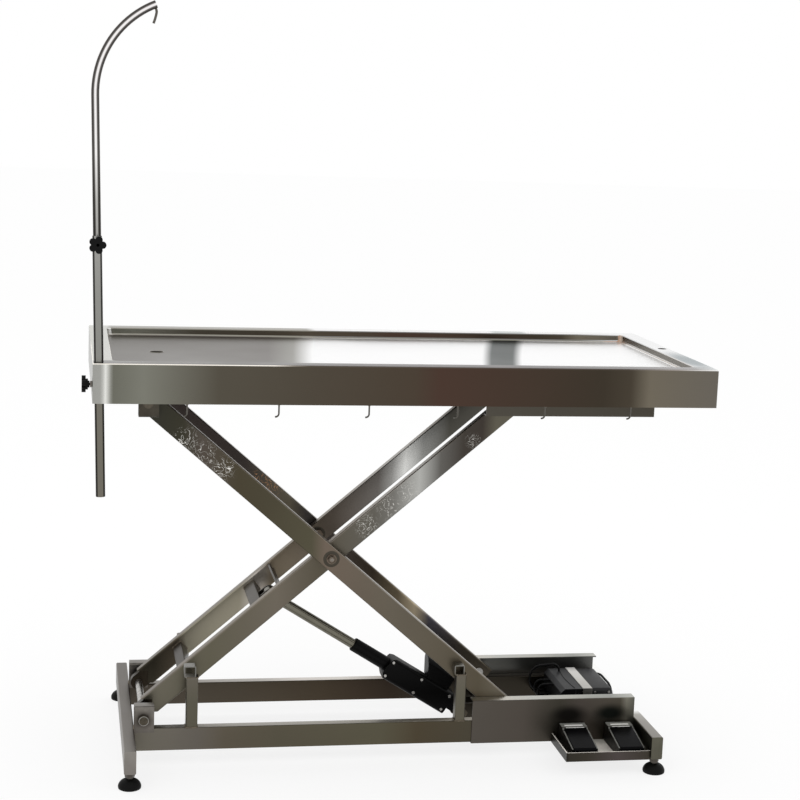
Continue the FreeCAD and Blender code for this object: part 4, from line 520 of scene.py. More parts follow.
def frame_materials():
    """Tubes of the base, the arms, the channels, the pole and the bright fasteners. Most of the shades
    along these steels are painted reflections and painted shade.
    """
    # Colour of the wavy lines of painted highlight on the arms; the far outer arm's lines are a warm
    # painted highlight.
    highlight_line_colour = (232, 230, 224)
    pivot = Vector(JOINTS["lift"]["pos_m"])
    # Rails and arms: painted reflections along each tube, whose light stops are painted highlights.
    rails = [(-0.55, (110, 106, 96)), (-0.42, (102, 97, 90)), (-0.36, (96, 89, 77)),
             (-0.25, (90, 85, 72)), (-0.02, (89, 85, 70)), (0.06, (76, 68, 54)), (0.18, (74, 69, 58))]
    outer = [(-0.51, (56, 55, 48)), (-0.46, (60, 58, 48)), (-0.42, (84, 77, 70)), (-0.34, (75, 69, 55)),
             (-0.18, (84, 80, 65)), (-0.15, (110, 98, 87)), (0.0, (105, 98, 86)), (0.2, (86, 79, 66)),
             (0.24, (98, 92, 80))]
    inner = [(-0.5, (106, 102, 90)), (-0.39, (98, 94, 80)), (-0.25, (110, 103, 92)),
             (-0.16, (90, 84, 72)), (-0.04, (100, 97, 90)), (0.0, (120, 118, 113)),
             (0.055, (178, 178, 174)), (0.1, (100, 98, 94)), (0.15, (68, 63, 58)), (0.19, (66, 60, 55)),
             (0.22, (98, 94, 82))]
    far_inner = [(-0.5, (62, 58, 49)), (-0.45, (90, 82, 70)), (-0.43, (145, 140, 124)),
                 (-0.31, (148, 142, 126)), (-0.276, (190, 184, 176)), (-0.24, (118, 108, 92)),
                 (-0.1, (94, 86, 78)), (0.0, (106, 102, 98)), (0.03, (150, 149, 146)),
                 (0.06, (222, 222, 219)), (0.1, (142, 142, 139)), (0.16, (78, 76, 70))]
    far_outer = [(-0.41, (69, 62, 59)), (-0.3, (69, 63, 60)), (-0.2, (114, 107, 92)),
                 (-0.16, (78, 74, 72)), (0.0, (64, 56, 47)), (0.06, (108, 98, 80)),
                 (0.1, (184, 170, 144)), (0.135, (84, 82, 90)), (0.22, (80, 74, 64))]
    # Channels: painted reflections along the sheet.
    channel = [(0.18, (83, 78, 72)), (0.3, (80, 74, 68)), (0.38, (62, 59, 52)), (0.43, (74, 68, 63)),
               (0.52, (82, 77, 68)), (0.535, (124, 121, 110)), (0.553, (92, 92, 84))]
    far_channel = [(0.18, (105, 105, 101)), (0.33, (88, 88, 84)), (0.45, (84, 84, 82)),
                   (0.553, (92, 92, 90))]
    return {
        "rail": steel("Rail tube", "X", rails, depth=0.1),
        # The far rail is a darker copy of the rail's steel: painted shade.
        "far_rail": steel("Far rail tube", "X", [(-0.55, (80, 74, 66)), (-0.3, (78, 71, 61)),
            (-0.1, (72, 63, 52)), (-0.02, (64, 55, 46)), (0.05, (54, 46, 39)), (0.2, (56, 52, 45)),
            (0.55, (50, 46, 40))]),
        # The tops of the rails are lighter: painted highlights on their upward faces.
        "far_rail_top": steel("Far rail top", "X", [(-0.55, (108, 104, 98)), (-0.38, (150, 146, 140)),
            (-0.25, (172, 168, 162)), (-0.16, (205, 200, 194)), (-0.06, (210, 205, 198)),
            (0.1, (120, 112, 104))]),
        "tube_top": steel("Tube top", "X", [(-0.58, (122, 118, 112)), (-0.3, (158, 154, 146)),
            (0.1, (140, 134, 122)), (0.58, (150, 144, 134))]),
        "crossbar": steel("Cross bar tube", "Y", [(-0.3, (112, 107, 101)), (-0.1, (104, 99, 93)),
            (0.3, (92, 87, 81))], stretch=(900, 25, 900)),
        # The right cross bar's white stretch is painted reflection of the white surroundings.
        "right_bar": steel("Right cross bar", "Y", [(-0.3, (134, 130, 124)), (-0.2, (146, 142, 136)),
            (-0.15, (166, 163, 156)), (-0.12, (255, 255, 253)), (0.3, (255, 255, 253))],
            stretch=(900, 25, 900)),
        "bar_end": steel("Tube end cap", "Z", [(0.034, (126, 121, 116)), (0.084, (140, 136, 130))],
            smudge=30.0),
        "right_end": steel("Right bar side", "Z", [(0.034, (90, 88, 77)), (0.084, (92, 90, 79))],
            smudge=20.0),
        # The uprights lighten at the top: painted highlight.
        "upright": steel("Upright tube", "Z", [(0.08, (92, 88, 76)), (0.14, (94, 91, 79)),
            (0.19, (102, 97, 87)), (0.2, (124, 123, 118))], stretch=(900, 900, 25)),
        "bracket": steel("Bracket plate", "Z", [(0.09, (108, 103, 97)), (0.15, (124, 120, 114))],
            smudge=60.0, depth=0.25, patches=[((pivot.x, side * 0.16, pivot.z), (0.024, 0.07, 0.024),
            (52, 46, 40)) for side in (-1, 1)]),
        "tray_bracket": steel("Tray bracket", "X", [(-0.6, (64, 59, 52)), (-0.5, (74, 70, 62))],
            smudge=50.0, depth=0.3),
        "near_outer": steel("Near outer arm tube", "X", outer, depth=0.1, highlight_creases=[((x, -0.1375, z),
            (0.034, 0.03, 0.034), 55.0, highlight_line_colour) for x, z in ((-0.452, 0.708), (-0.413, 0.676),
            (-0.372, 0.644))]),
        "near_inner": steel("Near inner arm tube", "X", inner, depth=0.08, highlight_creases=[((0.03, -0.11, 0.587),
            (0.03, 0.03, 0.03), 60.0, highlight_line_colour), ((-0.012, -0.11, 0.552), (0.034, 0.03, 0.034), 60.0, highlight_line_colour),
            ((-0.058, -0.11, 0.512), (0.034, 0.03, 0.034), 60.0, highlight_line_colour), ((0.17, -0.11, 0.7),
            (0.022, 0.03, 0.022), 90.0, highlight_line_colour)]),
        "far_inner": steel("Far inner arm tube", "X", far_inner, depth=0.08),
        "far_outer": steel("Far outer arm tube", "X", far_outer, depth=0.1,
            highlight_creases=[((-0.25, 0.1155, 0.56), (0.05, 0.03, 0.05), 50.0, (232, 170, 120))]),
        "arm_block": steel("Arm end block", "Z", [(0.1, (54, 48, 40)), (0.8, (84, 80, 72))]),
        # Arm edges: painted highlight along the top faces and rounded corners of the arms.
        "arm_edge": steel("Arm edge", "X", [(-0.54, (112, 106, 98)), (-0.3, (124, 116, 104)),
            (-0.1, (132, 124, 114)), (0.06, (168, 164, 158)), (0.12, (118, 110, 100)),
            (0.3, (112, 106, 96))], depth=0.25),
        "nut": steel("Dull nut", "Z", [(0.0, (84, 78, 68)), (0.9, (90, 84, 74))], smudge=120.0,
            depth=0.4),
        # Washer edges are light: painted highlight.
        "washer": steel("Bright washer edge", "Z", [(0.0, (165, 162, 156)), (0.9, (175, 172, 166))],
            smudge=200.0, depth=0.35),
        "stud": steel("Foot stud", "Z", [(0.0, (120, 118, 114)), (0.026, (84, 80, 75)),
            (0.034, (68, 64, 59)), (0.06, (62, 58, 53))], smudge=120.0, depth=0.3),
        # The channel's two dark patches are painted reflections of the pedals.
        "channel": steel("Channel sheet", "X", channel, depth=0.06, patches=[((0.402, -0.166, 0.092),
            (0.055, 0.05, 0.03), (24, 22, 20)), ((0.498, -0.166, 0.094), (0.05, 0.05, 0.028),
            (24, 26, 23))]),
        # The channel flanges are light: painted highlights on their upward faces.
        "channel_top": steel("Channel flange", "X", [(0.18, (196, 192, 182)), (0.26, (194, 190, 180)),
            (0.32, (184, 184, 178)), (0.41, (172, 171, 162)), (0.45, (156, 156, 148)),
            (0.5, (146, 147, 141)), (0.553, (182, 182, 175))]),
        "far_channel": steel("Far channel sheet", "X", far_channel, depth=0.08),
        "shelf": steel("Box shelf", "X", [(0.28, (56, 51, 43)), (0.55, (30, 28, 26))]),
        # Pedal tray: near white painted highlight between the pedals, darker towards the channel as painted
        # shade, and a darker painted reflection beside the left lip.
        "tray_sheet": steel("Pedal tray sheet", "Y", [(-0.293, (252, 246, 236)), (-0.2, (252, 246, 236)),
            (-0.185, (226, 222, 212)), (-0.17, (190, 186, 177))], depth=0.06, metallic=0.0,
            rough=(0.34, 0.48), patches=[((0.364, -0.22, 0.033), (0.03, 0.16, 0.02), (150, 143, 134))]),
        "tray_lip": steel("Pedal tray lip", "X", [(0.365, (38, 36, 31)), (0.372, (52, 49, 43)),
            (0.41, (58, 54, 47)), (0.48, (78, 71, 69)), (0.553, (62, 58, 50))]),
        # Pole: painted reflections, brighter towards the top, with bright and dark lines of painted
        # reflection along it.
        "pole": steel("Pole tube", "Z", [(0.55, (112, 108, 98)), (0.86, (118, 115, 106)),
            (0.9, (140, 140, 135)), (1.02, (146, 146, 141)), (1.12, (158, 157, 153)),
            (1.21, (192, 191, 187)), (1.3, (250, 248, 247)), (1.6, (252, 248, 248))],
            stretch=(900, 900, 25), rough=(0.2, 0.32), depth=0.05, lines=(POLE_MIDDLE.y, 8 * MM,
            [(0.0, (240, 240, 240)), (0.2, (205, 203, 200)), (0.4, (92, 90, 87)), (0.6, (62, 60, 58)),
            (0.86, (84, 82, 80)), (0.94, (130, 128, 125)), (0.975, (240, 240, 240)),
            (1.0, (255, 255, 255))])),
        "fastener": steel("Bright fastener", "Z", [(0.0, (176, 174, 170)), (1.2, (190, 189, 186))],
            rough=(0.22, 0.36), smudge=90.0, depth=0.3),
        "dark_wire": steel("Hook wire", "Z", [(0.76, (84, 82, 76)), (0.82, (96, 92, 86))], smudge=80.0),
        "rod": steel("Ground rod", "Z", [(0.1, (104, 101, 90)), (0.4, (116, 113, 102))],
            rough=(0.16, 0.26), smudge=30.0),
        "weld": steel("Weld bead", "Z", [(0.0, (116, 106, 92)), (0.9, (124, 118, 108))],
            rough=(0.3, 0.55), smudge=160.0, depth=0.3),
        "strap": steel("Bright strap", "Y", [(-0.06, (176, 174, 168)), (0.0, (186, 184, 178)),
            (0.12, (232, 230, 226))]),
    }


def skin_materials():
    """Plastics, rubber and paint."""
    return {
        "roller": moulded("Roller nylon", (24, 23, 22), (34, 32, 31)),
        "foot": moulded("Foot rubber", (9, 9, 8), (15, 15, 14), rough=(0.4, 0.6), specular=0.09),
        "knob": moulded("Knob plastic", (8, 8, 8), (15, 15, 15), rough=(0.25, 0.36)),
        # The case side is a darker copy of the case plastic: the lighter top is painted sheen.
        "case": moulded("Case plastic", (21, 22, 23), (31, 32, 34), rough=(0.4, 0.52), pebble=700.0,
            height=0.06, specular=0.25),
        "case_side": moulded("Case side", (9, 9, 10), (15, 15, 16), rough=(0.4, 0.52)),
        "cover": moulded("Cover plastic", (22, 22, 23), (30, 30, 31), rough=(0.4, 0.5), pebble=700.0,
            height=0.06, specular=0.25),
        "cable": moulded("Cable jacket", (7, 7, 8), (14, 14, 14), rough=(0.4, 0.5)),
        "pedal": moulded("Pedal case paint", (112, 112, 107), (124, 124, 119), rough=(0.4, 0.5),
            pebble=500.0, specular=0.2),
        "pedal_side": moulded("Pedal case side", (16, 15, 14), (26, 24, 21), rough=(0.3, 0.42)),
        "treadle": moulded("Treadle plastic", (3, 3, 4), (6, 6, 8), rough=(0.16, 0.28), specular=0.05),
        "label": moulded("Bare label plate", (228, 227, 222), (240, 239, 236), rough=(0.35, 0.45)),
        "actuator": moulded("Actuator paint", (6, 6, 6), (11, 11, 11), rough=(0.3, 0.42), specular=0.07),
    }


NODE_LOOKS = {
    "actuator_cross_tube": "far_rail", "actuator_lugs": "far_rail", "arm_rests": "upright",
    "pivot_brackets": "bracket",
    "control_strap": "strap", "box_shelf": "shelf", "control_cables": "cable",
    "left_treadle": "treadle", "right_treadle": "treadle", "inner_arm_blocks": "arm_block",
    "inner_cross_members": "arm_block", "rod_lugs": "arm_block", "upper_roller_axles": "fastener",
    "outer_arm_blocks": "arm_block", "lower_roller_axles": "fastener", "centre_bolts": "near_outer",
    "drain_spout": "under", "tray_subframe": "under", "tray_channels": "under",
    "tray_brackets": "tray_bracket", "tray_pivot_shaft": "fastener", "tray_pivot_bolts": "nut",
    "tie_hooks": "dark_wire", "pole_guide": "crossbar", "lower_pole": "pole", "upper_pole": "pole",
    "pole_hook": "dark_wire", "tray_knob": "knob", "pole_knob": "knob", "push_rod": "rod",
    "actuator_sleeve": "actuator", "gear_housing": "actuator", "motor_housing": "actuator",
    "rear_eye": "actuator", "control_cover": "cover",
}

# A tube's faces by where they look: its own look, its top, its rounded corners and its ends. On the rails,
# the right cross bar, the channels, the arms and the control case the top looks, and some corner looks, are
# lighter: painted highlights.
TUBE_LOOKS = {
    "left_crossbar": ("crossbar", "crossbar", "crossbar", "bar_end"),
    "right_crossbar": ("right_end", "right_bar", "right_bar", "right_end"),
    "near_rail": ("rail", "tube_top", "rail", "rail"),
    "far_rail": ("far_rail", "far_rail_top", "far_rail", "far_rail"),
    "uprights": ("upright", "upright", "upright", "upright"),
    "near_roller_channel": ("channel", "channel_top", "channel", "channel"),
    "far_roller_channel": ("far_channel", "channel_top", "far_channel", "far_channel"),
    "pedal_tray": ("tray_lip", "tray_sheet", "tray_lip", "tray_lip"),
    "control_case": ("case_side", "case", "case", "case_side"),
    "pedal_cases": ("pedal_side", "pedal", "pedal", "pedal_side"),
    "inner_near_arm": ("near_inner", "arm_edge", "arm_edge", "near_inner"),
    "inner_far_arm": ("far_inner", "arm_edge", "far_inner", "far_inner"),
    "outer_near_arm": ("near_outer", "arm_edge", "arm_edge", "near_outer"),
    "outer_far_arm": ("far_outer", "arm_edge", "far_outer", "far_outer"),
}
END_AXIS = {"left_crossbar": 1, "right_crossbar": 1}


def make_smooth_tree():
    """Joins a CAD node's loose triangles for shading, and keeps its real edges crisp."""
    tree, given, end = geometry_tree("Smooth CAD faces", [("Angle", "Float", 0.5)])
    weld_gap = 0.01 * MM
    joined = add(tree, "GeometryNodeMergeByDistance", {"Geometry": given["Geometry"], "Distance": weld_gap})
    smooth = add(tree, "GeometryNodeSetShadeSmooth", {"Geometry": joined})
    angle = add(tree, "GeometryNodeInputMeshEdgeAngle")
    gentle = add(tree, "FunctionNodeCompare",
                 {"A": angle.outputs["Unsigned Angle"], "B": given["Angle"]}, operation="LESS_THAN")
    edges = add(tree, "GeometryNodeSetShadeSmooth", {"Geometry": smooth, "Shade Smooth": gentle.outputs[0]},
                domain="EDGE")
    tree.links.new(edges.outputs[0], end["Geometry"])
    return tree


def paint(name, materials, choose=None):
    """Gives a CAD node its materials; the test says which one a face takes."""
    mesh = NODES[name].data
    mesh.materials.clear()
    for material in materials:
        mesh.materials.append(material)
    if choose:
        for face in mesh.polygons:
            face.material_index = choose(face.center, face.normal)


def tray_zone(centre, normal):
    """Which zone of the tray sheet a face is on: apron, rim, basin wall, basin floor, underside or fold."""
    lo, hi = TRAY_BOX
    inside = abs(centre.x) < hi.x - RIM_WIDTH and abs(centre.y) < hi.y - RIM_WIDTH
    if inside and normal.z > -0.1 and centre.z > hi.z - BASIN_DEPTH - 1.3 * MM:
        return 3 if normal.z > 0.8 else 2
    if normal.z > 0.93:
        return 1
    if normal.z > 0.2:
        return 5
    if normal.z < -0.5 and centre.z > lo.z + 3 * MM:
        return 4
    return 0


def tube_zone(axis):
    """Which zone of a tube a face is on: side, top, rounded corner or end."""
    def zone(centre, normal):
        if abs(normal[axis]) > 0.9:
            return 3
        if normal.z > 0.93 or (normal.z > 0.4 and abs(normal.y) < 0.2):
            return 1
        return 2 if normal.z > 0.25 else 0
    return zone


# ---------------------------------------------------------------- reading the frame

def solids(name):
    """The separate solids of a CAD node, each as a list of its points."""
    mesh = NODES[name].data
    keys = [tuple(round(value, 5) for value in vertex.co) for vertex in mesh.vertices]
    owner = {key: key for key in keys}

    def root(key):
        while owner[key] != key:
            owner[key] = owner[owner[key]]
            key = owner[key]
        return key

    for face in mesh.polygons:
        first = root(keys[face.vertices[0]])
        for index in face.vertices[1:]:
            owner[root(keys[index])] = first
    found = {}
    for key in owner:
        found.setdefault(root(key), []).append(Vector(key))
    return [found[key] for key in sorted(found)]


def span(points, axis):
    values = [point[AXIS[axis]] for point in points]
    return min(values), max(values)


def middle(points):
    return Vector([sum(span(points, axis)) / 2 for axis in "XYZ"])


def end_ring(points, axis, side):
    """The outer outline of a solid's end face, as a closed path of points."""
    index = AXIS[axis]
    others = [other for other in range(3) if other != index]
    limit = span(points, axis)[1 if side > 0 else 0]
    flat = sorted({(round(point[others[0]], 5), round(point[others[1]], 5))
                   for point in points if abs(point[index] - limit) < 0.2 * MM})

    def turn(a, b, c):
        return (b[0] - a[0]) * (c[1] - a[1]) - (b[1] - a[1]) * (c[0] - a[0])

    hull = []
    for walk in (flat, flat[::-1]):
        part = []
        for spot in walk:
            while len(part) > 1 and turn(part[-2], part[-1], spot) <= 0:
                part.pop()
            part.append(spot)
        hull += part[:-1]
    path = []
    for first, second in hull:
        point = Vector((0, 0, 0))
        point[index] = limit
        point[others[0]] = first
        point[others[1]] = second
        path.append(point)
    return path


# ---------------------------------------------------------------- geometry trees

def make_weld_tree():
    """Ripples of a weld laid along guide lines, each turned and sized a little differently."""
    tree, given, end = geometry_tree("Weld bead", [
        ("Radius", "Float", 1.7 * MM), ("Pitch", "Float", 2.3 * MM), ("Material", "Material", None)])
    curve = add(tree, "GeometryNodeMeshToCurve", {"Mesh": given["Geometry"]})
    even = add(tree, "GeometryNodeResampleCurve", {"Curve": curve, "Length": given["Pitch"]}, mode="LENGTH")
    ripple = add(tree, "GeometryNodeMeshIcoSphere", {"Radius": given["Radius"], "Subdivisions": 2})
    size = add(tree, "FunctionNodeRandomValue", {2: 0.75, 3: 1.15, "Seed": 3}, data_type="FLOAT")
    turn = add(tree, "FunctionNodeRandomValue",
               {0: (0, 0, 0), 1: (math.pi, math.pi, math.pi), "Seed": 5}, data_type="FLOAT_VECTOR")
    laid = add(tree, "GeometryNodeInstanceOnPoints",
               {"Points": even, "Instance": ripple.outputs["Mesh"], "Rotation": turn.outputs[0],
                "Scale": size.outputs[1]})
    end_tree(tree, True, end, laid, given["Material"])
    return tree


def in_a_row(tree, given, thing):
    """Copies of a thing in a row, all turned the same way."""
    row = add(tree, "GeometryNodeMeshLine",
              {"Count": given["Count"], "Start Location": given["Start"], "Offset": given["Step"]})
    return add(tree, "GeometryNodeInstanceOnPoints",
               {"Points": row.outputs["Mesh"], "Instance": thing.outputs["Mesh"],
                "Rotation": given["Turn"]})


def make_ring_tree():
    """Equal rings in a row along one direction, such as the crests of a thread."""
    tree, given, end = geometry_tree("Row of rings", [
        ("Count", "Int", 5), ("Start", "Vector", (0, 0, 0)), ("Step", "Vector", (0, 0, MM)),
        ("Turn", "Rotation", None), ("Radius", "Float", 5 * MM), ("Wire", "Float", 0.5 * MM),
        ("Material", "Material", None)])
    ring = add(tree, "GeometryNodeCurvePrimitiveCircle", {"Resolution": 32, "Radius": given["Radius"]})
    wire = add(tree, "GeometryNodeCurvePrimitiveCircle", {"Resolution": 8, "Radius": given["Wire"]})
    torus = add(tree, "GeometryNodeCurveToMesh",
                {"Curve": ring.outputs["Curve"], "Profile Curve": wire.outputs["Curve"]})
    end_tree(tree, True, end, in_a_row(tree, given, torus), given["Material"])
    return tree


def make_rib_tree():
    """Equal flat bars in a row, such as plates and bezels."""
    tree, given, end = geometry_tree("Row of ribs", [
        ("Count", "Int", 9), ("Start", "Vector", (0, 0, 0)), ("Step", "Vector", (0, MM, 0)),
        ("Turn", "Rotation", None), ("Size", "Vector", (MM, MM, MM)), ("Material", "Material", None)])
    bar = add(tree, "GeometryNodeMeshCube", {"Size": given["Size"]})
    end_tree(tree, False, end, in_a_row(tree, given, bar), given["Material"])
    return tree


def make_disc_tree():
    """A turned disc with a softened edge on each guide point, such as a screw head or a cap."""
    tree, given, end = geometry_tree("Discs", [
        ("Radius", "Float", 3 * MM), ("Thickness", "Float", MM), ("Turn", "Rotation", None),
        ("Material", "Material", None)])
    disc = add(tree, "GeometryNodeMeshCylinder",
               {"Vertices": 32, "Radius": given["Radius"], "Depth": given["Thickness"]})
    ring = add(tree, "GeometryNodeCurvePrimitiveCircle", {"Resolution": 32, "Radius": given["Radius"]})
    half = maths(tree, "MULTIPLY", given["Thickness"], 0.5)
    wire = add(tree, "GeometryNodeCurvePrimitiveCircle", {"Resolution": 8, "Radius": half})
    lip = add(tree, "GeometryNodeCurveToMesh",
              {"Curve": ring.outputs["Curve"], "Profile Curve": wire.outputs["Curve"]})
    both = add(tree, "GeometryNodeJoinGeometry")
    tree.links.new(lip.outputs["Mesh"], both.inputs[0])
    tree.links.new(disc.outputs["Mesh"], both.inputs[0])
    laid = add(tree, "GeometryNodeInstanceOnPoints",
               {"Points": given["Geometry"], "Instance": both, "Rotation": given["Turn"]})
    end_tree(tree, False, end, laid, given["Material"])
    return tree


def make_sweep_tree():
    """A round bar along a guide line."""
    tree, given, end = geometry_tree("Round line", [
        ("Radius", "Float", MM), ("Material", "Material", None)])
    curve = add(tree, "GeometryNodeMeshToCurve", {"Mesh": given["Geometry"]})
    wire = add(tree, "GeometryNodeCurvePrimitiveCircle", {"Resolution": 12, "Radius": given["Radius"]})
    swept = add(tree, "GeometryNodeCurveToMesh",
                {"Curve": curve, "Profile Curve": wire.outputs["Curve"], "Fill Caps": True})
    end_tree(tree, True, end, swept, given["Material"])
    return tree


def chain(paths, closed=True):
    """Points and edges of several guide lines in one mesh."""
    points = []
    edges = []
    for path in paths:
        start = len(points)
        points += path
        edges += [(start + index, start + index + 1) for index in range(len(path) - 1)]
        if closed:
            edges.append((start + len(path) - 1, start))
    return points, edges


# ---------------------------------------------------------------- operators

class EXAM_OT_finish_frame(bpy.types.Operator):
    """Gives the CAD nodes their materials, and every CAD node smooth shading"""
    bl_idname = "exam.finish_frame"
    bl_label = "Finish the frame"

    def execute(self, context):
        GROUPS.update({"brushed": make_brushed_group(), "moulded": make_moulded_group(),
                       "patch": make_patch_group(), "wavy_highlight": make_wavy_highlight_group(),
                       "lean": make_lean_group(), "tube_reflection": make_tube_reflection_group()})
        for materials in (tray_materials(), frame_materials(), skin_materials()):
            LOOKS.update(materials)
        for name, look in NODE_LOOKS.items():
            paint(name, [LOOKS[look]])
        for name, looks in TUBE_LOOKS.items():
            paint(name, [LOOKS[look] for look in looks], tube_zone(END_AXIS.get(name, 0)))
        lock_nuts_end = 40 * MM
        paint("frame_fasteners", [LOOKS["nut"], LOOKS["stud"]],
              lambda centre, normal: 1 if centre.z < lock_nuts_end else 0)
        paint("pivot_shaft", [LOOKS["fastener"], LOOKS["nut"]],
              lambda centre, normal: 1 if abs(normal.y) > 0.5 else 0)
        paint("tray_top", [LOOKS[zone] for zone in ("apron", "rim", "wall", "floor", "under", "fold")],
              tray_zone)
        for name in [node for node in NODES if node.endswith("_roller")]:
            paint(name, [LOOKS["roller"]])
        smooth = make_smooth_tree()
        for node in NODES.values():
            modifier = node.modifiers.new("Smooth CAD faces", "NODES")
            modifier.node_group = smooth
            set_inputs(modifier, {"Angle": settings().smooth_angle})
        return {"FINISHED"}


class EXAM_OT_lay_welds(bpy.types.Operator):
    """Lays weld beads round the tube ends of the base, the arms and the tray's frame"""
    bl_idname = "exam.lay_welds"
    bl_label = "Lay the welds"

    def execute(self, context):
        TREES["weld"] = make_weld_tree()
        base = [end_ring(post, "Z", side) for post in solids("uprights") for side in (-1, 1)]
        for name in ("near_rail", "far_rail"):
            base += [end_ring(solids(name)[0], "X", side) for side in (-1, 1)]
        base += [end_ring(solids("actuator_cross_tube")[0], "Y", side) for side in (-1, 1)]
        base += [end_ring(lug, "X", 1) for lug in solids("actuator_lugs")]
        inner = [end_ring(member, "Y", side) for member in solids("inner_cross_members")
                 for side in (-1, 1)]
        tray = [end_ring(hook, "Z", 1) for hook in solids("tie_hooks")]
        for name, paths, body in (("base_welds", base, "base"), ("arm_welds", inner, "inner_arms"),
                                  ("tray_welds", tray, "tray")):
            points, edges = chain(paths)
            grow(name, TREES["weld"], points, edges,
                 {"Radius": settings().bead_radius, "Pitch": settings().bead_pitch,
                  "Material": LOOKS["weld"]}, body)
        return {"FINISHED"}


class EXAM_OT_turn_feet(bpy.types.Operator):
    """Turns the four levelling feet: domed pads, and threaded studs"""
    bl_idname = "exam.turn_feet"
    bl_label = "Turn the feet"

    def execute(self, context):
        TREES["ring"] = make_ring_tree()
        pitch = settings().thread_pitch
        clearance = 0.05 * MM
        collar = 1.4 * MM
        collar_top = 4.5 * MM
        collar_edge = 0.5 * MM
        chamfer = 0.6 * MM
        # The pad's outline as shares of its radius and of its height.
        dome = [(0.9, 0.0), (0.975, 0.05), (1.0, 0.16), (1.0, 0.3), (0.965, 0.44), (0.89, 0.6),
                (0.78, 0.74), (0.64, 0.86), (0.48, 0.95), (0.33, 1.0)]
        for name in [node for node in NODES if node.endswith("_foot")]:
            lo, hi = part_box(name)
            middle_spot = (lo + hi) / 2
            foot = Vector((middle_spot.x, middle_spot.y, lo.z))
            radius = min(hi.x - lo.x, hi.y - lo.y) / 2
            height = settings().pad_height
            wire = pitch * 0.25
            stud = settings().stud_radius - wire - clearance
            tall = hi.z - lo.z
            profile = [(radius * across, height * up, 0) for across, up in dome]
            profile += [(stud + collar, height + 0.2 * MM, 0), (stud + collar, height + collar_top, 1),
                        (stud, height + collar_top + collar_edge, 1), (stud, tall - chamfer, 1),
                        (stud - chamfer, tall, 1)]
            pad = turned(name + "_pad", foot, profile, 48, [LOOKS["foot"], LOOKS["stud"]], name)
            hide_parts(name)
            start = height + collar_top + 2 * MM
            count = int((tall - start) / pitch)
            grow(name + "_thread", TREES["ring"], [foot], [],
                 {"Count": count, "Start": foot + UP * start, "Step": UP * pitch, "Turn": (0, 0, 0),
                  "Radius": stud, "Wire": wire, "Material": LOOKS["stud"]},
                 name)
        return {"FINISHED"}


class EXAM_OT_ring_pivots(bpy.types.Operator):
    """Adds the washer edges round the bolts of the pivots and of the arm crossings; the light rings are
    painted highlights, and a dark ring lies round each crossing
    """
    bl_idname = "exam.ring_pivots"
    bl_label = "Ring the pivots"

    def execute(self, context):
        near_by = 8 * MM
        wire = 0.8 * MM
        for name, node, joint, rings, body in (
                ("pivot_washers", "frame_fasteners", "lift", ((10, "washer"), (5, "nut")), "base"),
                ("crossing_washers", "centre_bolts", "scissor", ((7, "arm_block"), (2.5, "washer")),
                 "outer_arms")):
            spot = Vector(JOINTS[joint]["pos_m"])
            heads = [head for head in solids(node)
                     if (middle(head) - Vector((spot.x, middle(head).y, spot.z))).length < near_by]
            faces = [span(head, "Y")[0 if middle(head).y < 0 else 1] for head in heads]
            front = min(faces)
            for number, (radius, look) in enumerate(rings):
                grow(name + "_" + str(number), TREES["ring"], [spot], [],
                     {"Count": 2, "Start": Vector((spot.x, front, spot.z)),
                      "Step": Vector((0, max(faces) - front, 0)), "Turn": (math.pi / 2, 0, 0),
                      "Radius": radius * MM, "Wire": wire, "Material": LOOKS[look]}, body)
        return {"FINISHED"}


class EXAM_OT_cap_knobs(bpy.types.Operator):
    """Adds the screw ends in the middle of the two star knobs"""
    bl_idname = "exam.cap_knobs"
    bl_label = "Cap the knobs"

    def execute(self, context):
        TREES["disc"] = make_disc_tree()
        quarter = math.pi / 2
        thick = 1.2 * MM
        for name, axis, turn in (("tray_knob", "X", (0, quarter, 0)), ("pole_knob", "Y", (quarter, 0, 0))):
            lo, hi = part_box(name)
            centre = (lo + hi) / 2
            centre[AXIS[axis]] = lo[AXIS[axis]] + thick / 2
            grow(name + "_insert", TREES["disc"], [centre], [],
                 {"Radius": 3 * MM, "Thickness": thick, "Turn": turn, "Material": LOOKS["nut"]},
                 name)
        return {"FINISHED"}


class EXAM_OT_dress_pedals(bpy.types.Operator):
    """Adds the bezels over the hinge ends of the treadles, each with a bare plate"""
    bl_idname = "exam.dress_pedals"
    bl_label = "Dress the pedals"

    def execute(self, context):
        TREES["rib"] = make_rib_tree()
        treadle_wall = 12 * MM
        bezel_wall = 1.4 * MM
        plate_wall = 0.8 * MM
        lean_share = 0.45
        plate_width = 0.72
        plate_depth = 0.56
        plate_shift = 0.16
        lo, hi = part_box("pedal_cases")
        for name in ("left_treadle", "right_treadle"):
            front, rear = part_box(name)
            fall = math.atan2(rear.z - front.z - treadle_wall, rear.y - front.y)
            x = (front.x + rear.x) / 2
            bezel = Vector((rear.x - front.x, settings().bezel_depth, bezel_wall))
            lean = fall * lean_share
            half = bezel.y / 2
            spot = Vector((x, hi.y - MM - half * math.cos(lean), hi.z - half * math.sin(lean)))
            grow(name.replace("treadle", "bezel"), TREES["rib"], [spot], [],
                 {"Count": 1, "Start": spot, "Step": UP, "Turn": (lean, 0, 0), "Size": bezel,
                  "Material": LOOKS["pedal"]}, "base")
            forward = Vector((0, -math.cos(lean), -math.sin(lean)))
            plate = spot + forward * bezel.y * plate_shift + UP * MM
            grow(name.replace("treadle", "label_plate"), TREES["rib"], [plate], [],
                 {"Count": 1, "Start": plate, "Step": UP, "Turn": (lean, 0, 0),
                  "Size": Vector((bezel.x * plate_width, bezel.y * plate_depth, plate_wall)),
                  "Material": LOOKS["label"]}, "base")
        return {"FINISHED"}


